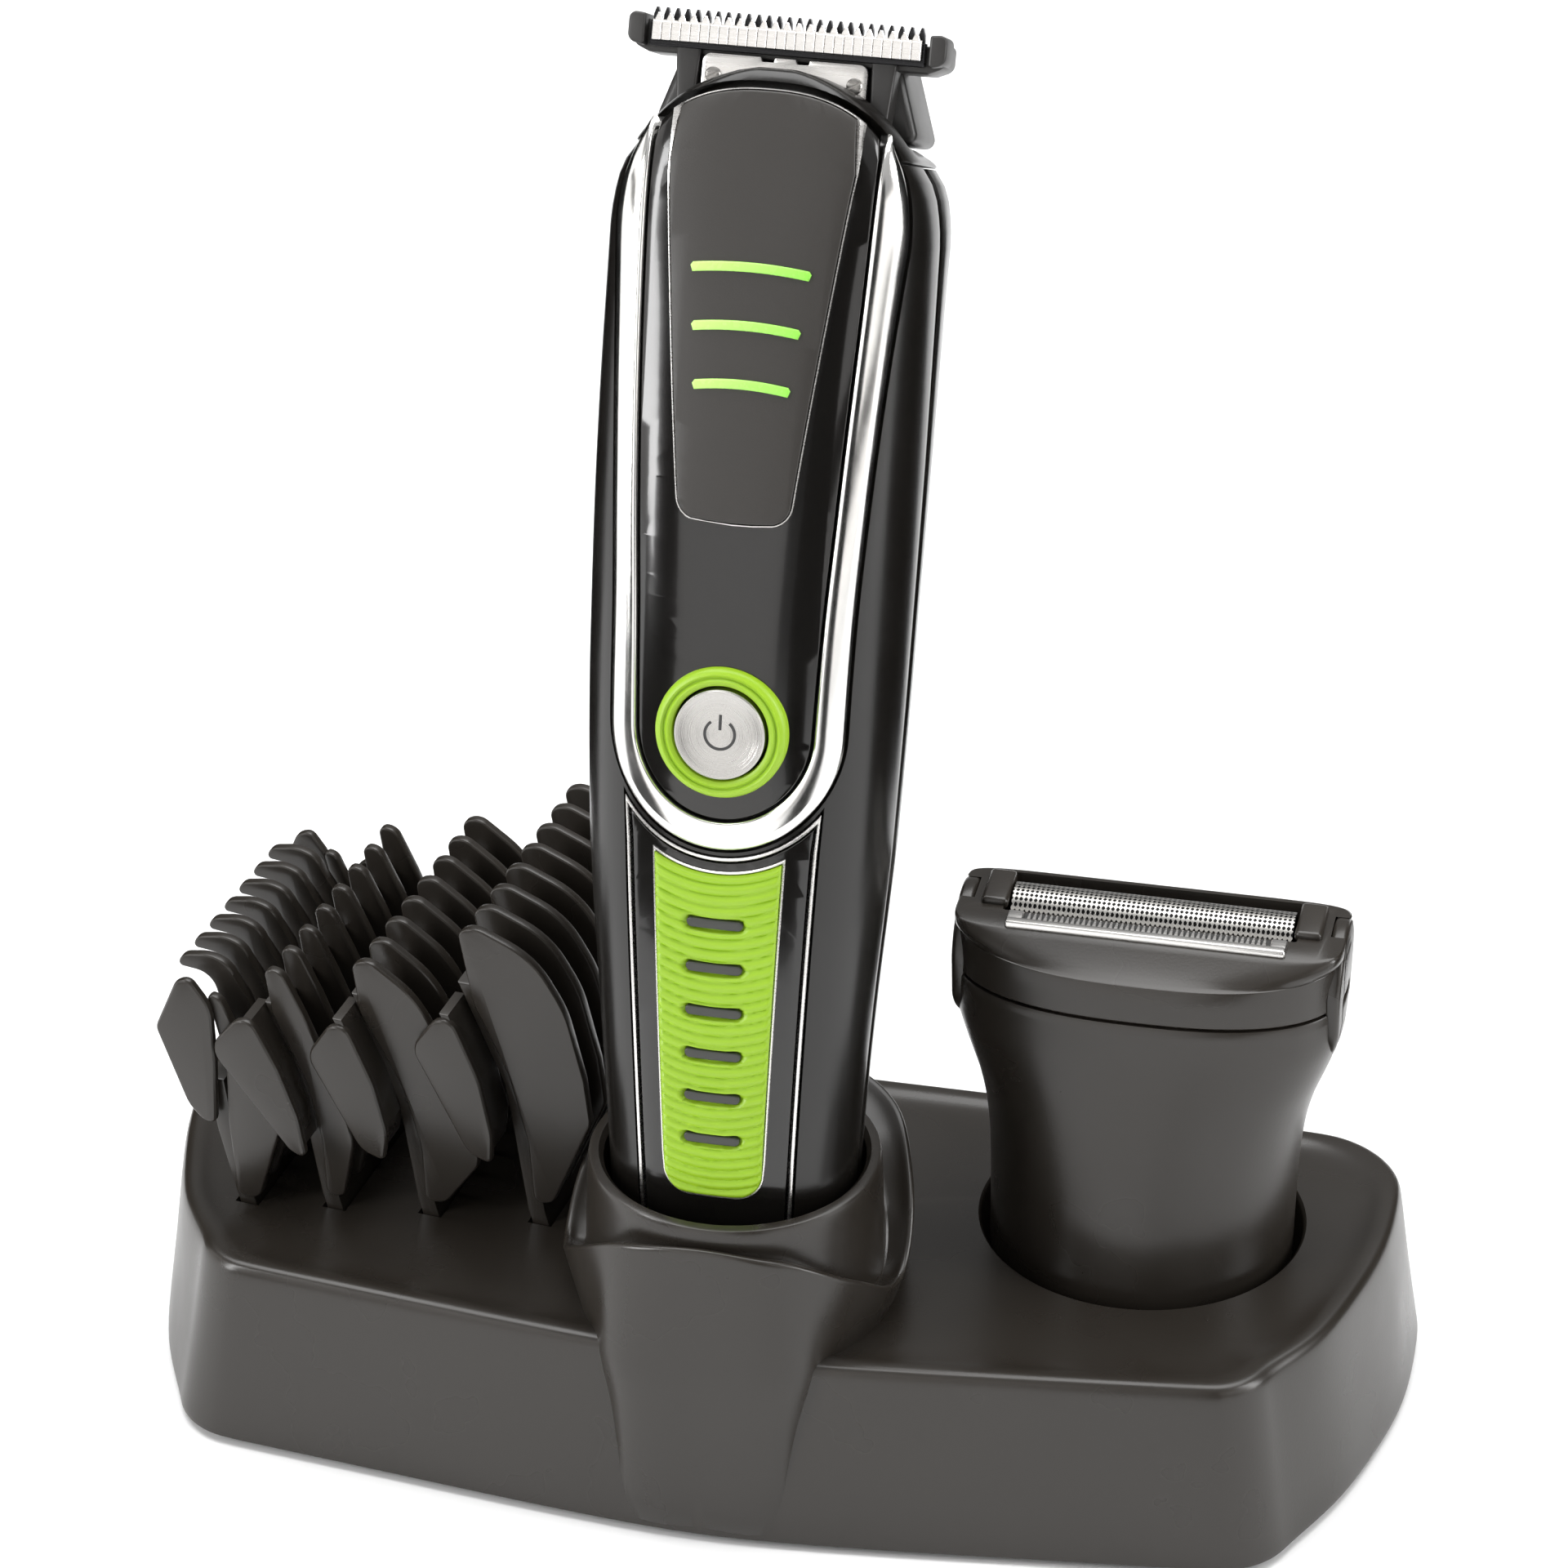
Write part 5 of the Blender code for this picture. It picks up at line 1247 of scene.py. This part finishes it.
COMBS = (
    {
        "spine": ((-75.4, 46.0), (-74.3, 38.0)),
        "lobe": ((-82.8, 54.0, 0.8), (-78.6, 42.4, 2.0), (-76.4, 40.2, 0.9), (-74.6, 40.2, 0.6),
                 (-74.2, 50.0, 2.0), (-74.4, 58.6, 2.4), (-77.4, 62.6, 1.6), (-79.4, 61.9, 0.8)),
        "tooth": ((-82.0, 60.3, 0.7), (-81.2, 62.1, 0.8), (-77.2, 62.9, 2.0), (-74.2, 61.8, 2.0),
                  (-72.2, 57.0, 2.0), (-68.4, 48.0, 3.0), (-65.4, 40.6, 1.2), (-69.6, 28.4, 1.4),
                  (-73.0, 28.4, 0.4), (-74.7, 42.0, 0.0), (-74.9, 52.0, 2.0), (-77.0, 59.9, 1.2)),
        "cheek": ((-75.6, 59.9, 1.0), (-73.6, 59.6, 1.6), (-71.0, 53.6, 3.0), (-65.6, 40.8, 1.6),
                  (-69.4, 28.2, 1.2), (-72.6, 28.2, 0.5), (-73.4, 40.0, 0.0), (-73.2, 50.0, 2.0)),
        "teeth": 9,
    },
    {
        "spine": ((-67.4, 58.0), (-63.0, 44.0)),
        "rib": ((-69.0, 57.6), (-65.2, 50.4), (-63.0, 44.0), (-62.2, 39.0)),
        "lobe": ((-75.0, 52.6, 1.2), (-63.6, 38.1, 1.6), (-61.3, 37.6, 0.3), (-62.4, 44.0, 3.0),
                 (-64.9, 51.0, 4.0), (-69.2, 59.6, 0.8)),
        "tooth": ((-68.2, 63.9, 0.9), (-65.6, 63.7, 1.2), (-62.7, 57.6, 3.0), (-58.4, 47.0, 4.0),
                  (-56.2, 38.6, 2.0), (-58.0, 29.3, 1.4), (-60.6, 29.3, 0.5), (-60.9, 38.0, 4.0),
                  (-62.8, 47.0, 4.0), (-67.2, 57.0, 2.0)),
        "teeth": 8,
    },
    {
        "spine": ((-56.0, 60.0), (-49.8, 44.0)),
        "rib": ((-57.0, 58.6), (-52.8, 49.4), (-51.0, 43.0), (-51.8, 39.0)),
        "lobe": ((-62.0, 52.3, 1.2), (-54.6, 38.6, 1.8), (-51.2, 37.6, 0.3), (-50.6, 42.0, 3.0),
                 (-52.4, 49.6, 4.0), (-56.9, 60.2, 0.8)),
        "tooth": ((-56.7, 65.3, 0.9), (-54.2, 66.2, 1.4), (-47.6, 61.6, 5.0), (-42.4, 51.6, 6.0),
                  (-39.2, 43.6, 2.0), (-39.3, 36.8, 1.4), (-44.4, 29.5, 1.2), (-47.3, 29.5, 0.4),
                  (-47.6, 38.0, 5.0), (-50.2, 47.6, 6.0), (-55.7, 57.8, 2.0)),
        "teeth": 8,
    },
    {
        "spine": ((-41.8, 63.0), (-35.4, 48.0)),
        "rib": ((-42.8, 60.6), (-38.6, 51.0), (-37.0, 44.0), (-37.4, 39.8)),
        "lobe": ((-48.0, 54.8, 1.2), (-40.2, 39.4, 1.8), (-36.8, 38.4, 0.3), (-36.6, 43.0, 4.0),
                 (-38.2, 51.2, 5.0), (-42.7, 62.2, 0.8)),
        "tooth": ((-42.5, 71.5, 0.9), (-40.0, 72.5, 1.6), (-31.8, 69.2, 5.0), (-27.4, 61.8, 6.0),
                  (-24.9, 51.6, 5.0), (-24.1, 44.8, 1.2), (-29.9, 30.7, 1.0), (-32.6, 30.7, 0.4),
                  (-33.2, 40.0, 6.0), (-35.8, 50.4, 6.0), (-40.5, 60.6, 2.0)),
        "teeth": 8,
    },
)
PLATE = 1.6


def softened(outline):
    """The same corners with wider rounding, as far as their edges leave room."""
    return [(across, up, 2.6 * radius) for across, up, radius in outline]


for number, (comb, (foot, front_place)) in enumerate(zip(COMBS, COMB_FEET), 1):
    matrix = comb_place(front_place)
    path = list(comb["spine"]) + [(foot - SLANT * rise, DECK + rise) for rise in (2.0, -6.0)]
    strip_outline = [(u - 1.25, h) for u, h in path] + [(u + 1.25, h) for u, h in reversed(path)]
    spine = plate(strip_outline, 1.0, COMB_LENGTH - 1.0, 0.3, 2)
    body = settle(placed(spine, matrix), f"guard_comb_{number}", satin_charcoal, 28.0)
    pitch = (COMB_LENGTH - PLATE) / (comb["teeth"] - 1)
    last = comb["teeth"] - 1
    plates = []
    for i in range(comb["teeth"]):
        outline = comb["cheek"] if i in (0, last) and "cheek" in comb else comb["tooth"]
        plates.append(placed(plate(softened(outline), i * pitch, i * pitch + PLATE, 0.42, 3), matrix))
    carve(body, gathered(plates), "UNION", 28.0)
    rear_lobe = plate(softened(comb["lobe"]), COMB_LENGTH - PLATE + 0.04, COMB_LENGTH - 0.03, 0.5, 3)
    carve(body, placed(rear_lobe, matrix), "UNION", 28.0)
    reach = -1.3 if number == 1 else -4.3
    wing = plate(softened(comb["lobe"]), reach, reach + 1.5, 0.6, 3)
    carve(body, placed(wing, matrix), "UNION", 28.0)
    if number > 1:
        web = [(a - 1.1, h) for a, h in comb["rib"]] + [(a + 0.2, h) for a, h in reversed(comb["rib"])]
        carve(body, placed(plate(web, reach + 0.7, 2.4, 0.2, 2), matrix), "UNION", 28.0)
    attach(body, f"comb_{number}")
    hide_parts(f"comb_{number}")

# ------------------------------------------------------------------ pieces kept from the frame
# Feet, base plate, sockets, contacts, screws and everything inside the shells keep their own shapes and
# get the finish of their material.


def dressed(names, finish):
    for name in names.split():
        nodes[name].data.materials.clear()
        nodes[name].data.materials.append(finish)


soft_black = plastic("black_rubber", (0.018, 0.018, 0.018), 0.7, 0.85, grain=1500.0, depth=0.25, edge_highlight=0.2)
board_green = plastic("board_green", (0.02, 0.12, 0.05), 0.3, 0.45, grain=900.0, depth=0.1, edge_highlight=0.1)
cell_sleeve = plastic("cell_sleeve", (0.02, 0.15, 0.35), 0.25, 0.4, grain=700.0, depth=0.1, edge_highlight=0.2)
contact_brass = other_metal("contact_brass", (0.66, 0.46, 0.16), (0.83, 0.63, 0.28))
dressed("stand_foot_1 stand_foot_2 stand_foot_3 stand_foot_4", soft_black)
dressed("stand_base_plate dc_socket tactile_switch eccentric_cam drive_fork", nylon)
dressed("base_screw_1 base_screw_2 base_screw_3 base_screw_4 motor motor_shaft tension_spring", dark_steel)
dressed("foil_cutter", brushed)
dressed("charge_pin_left charge_pin_right charge_contact_left charge_contact_right", contact_brass)
dressed("stand_circuit_board circuit_board", board_green)
dressed("battery", cell_sleeve)
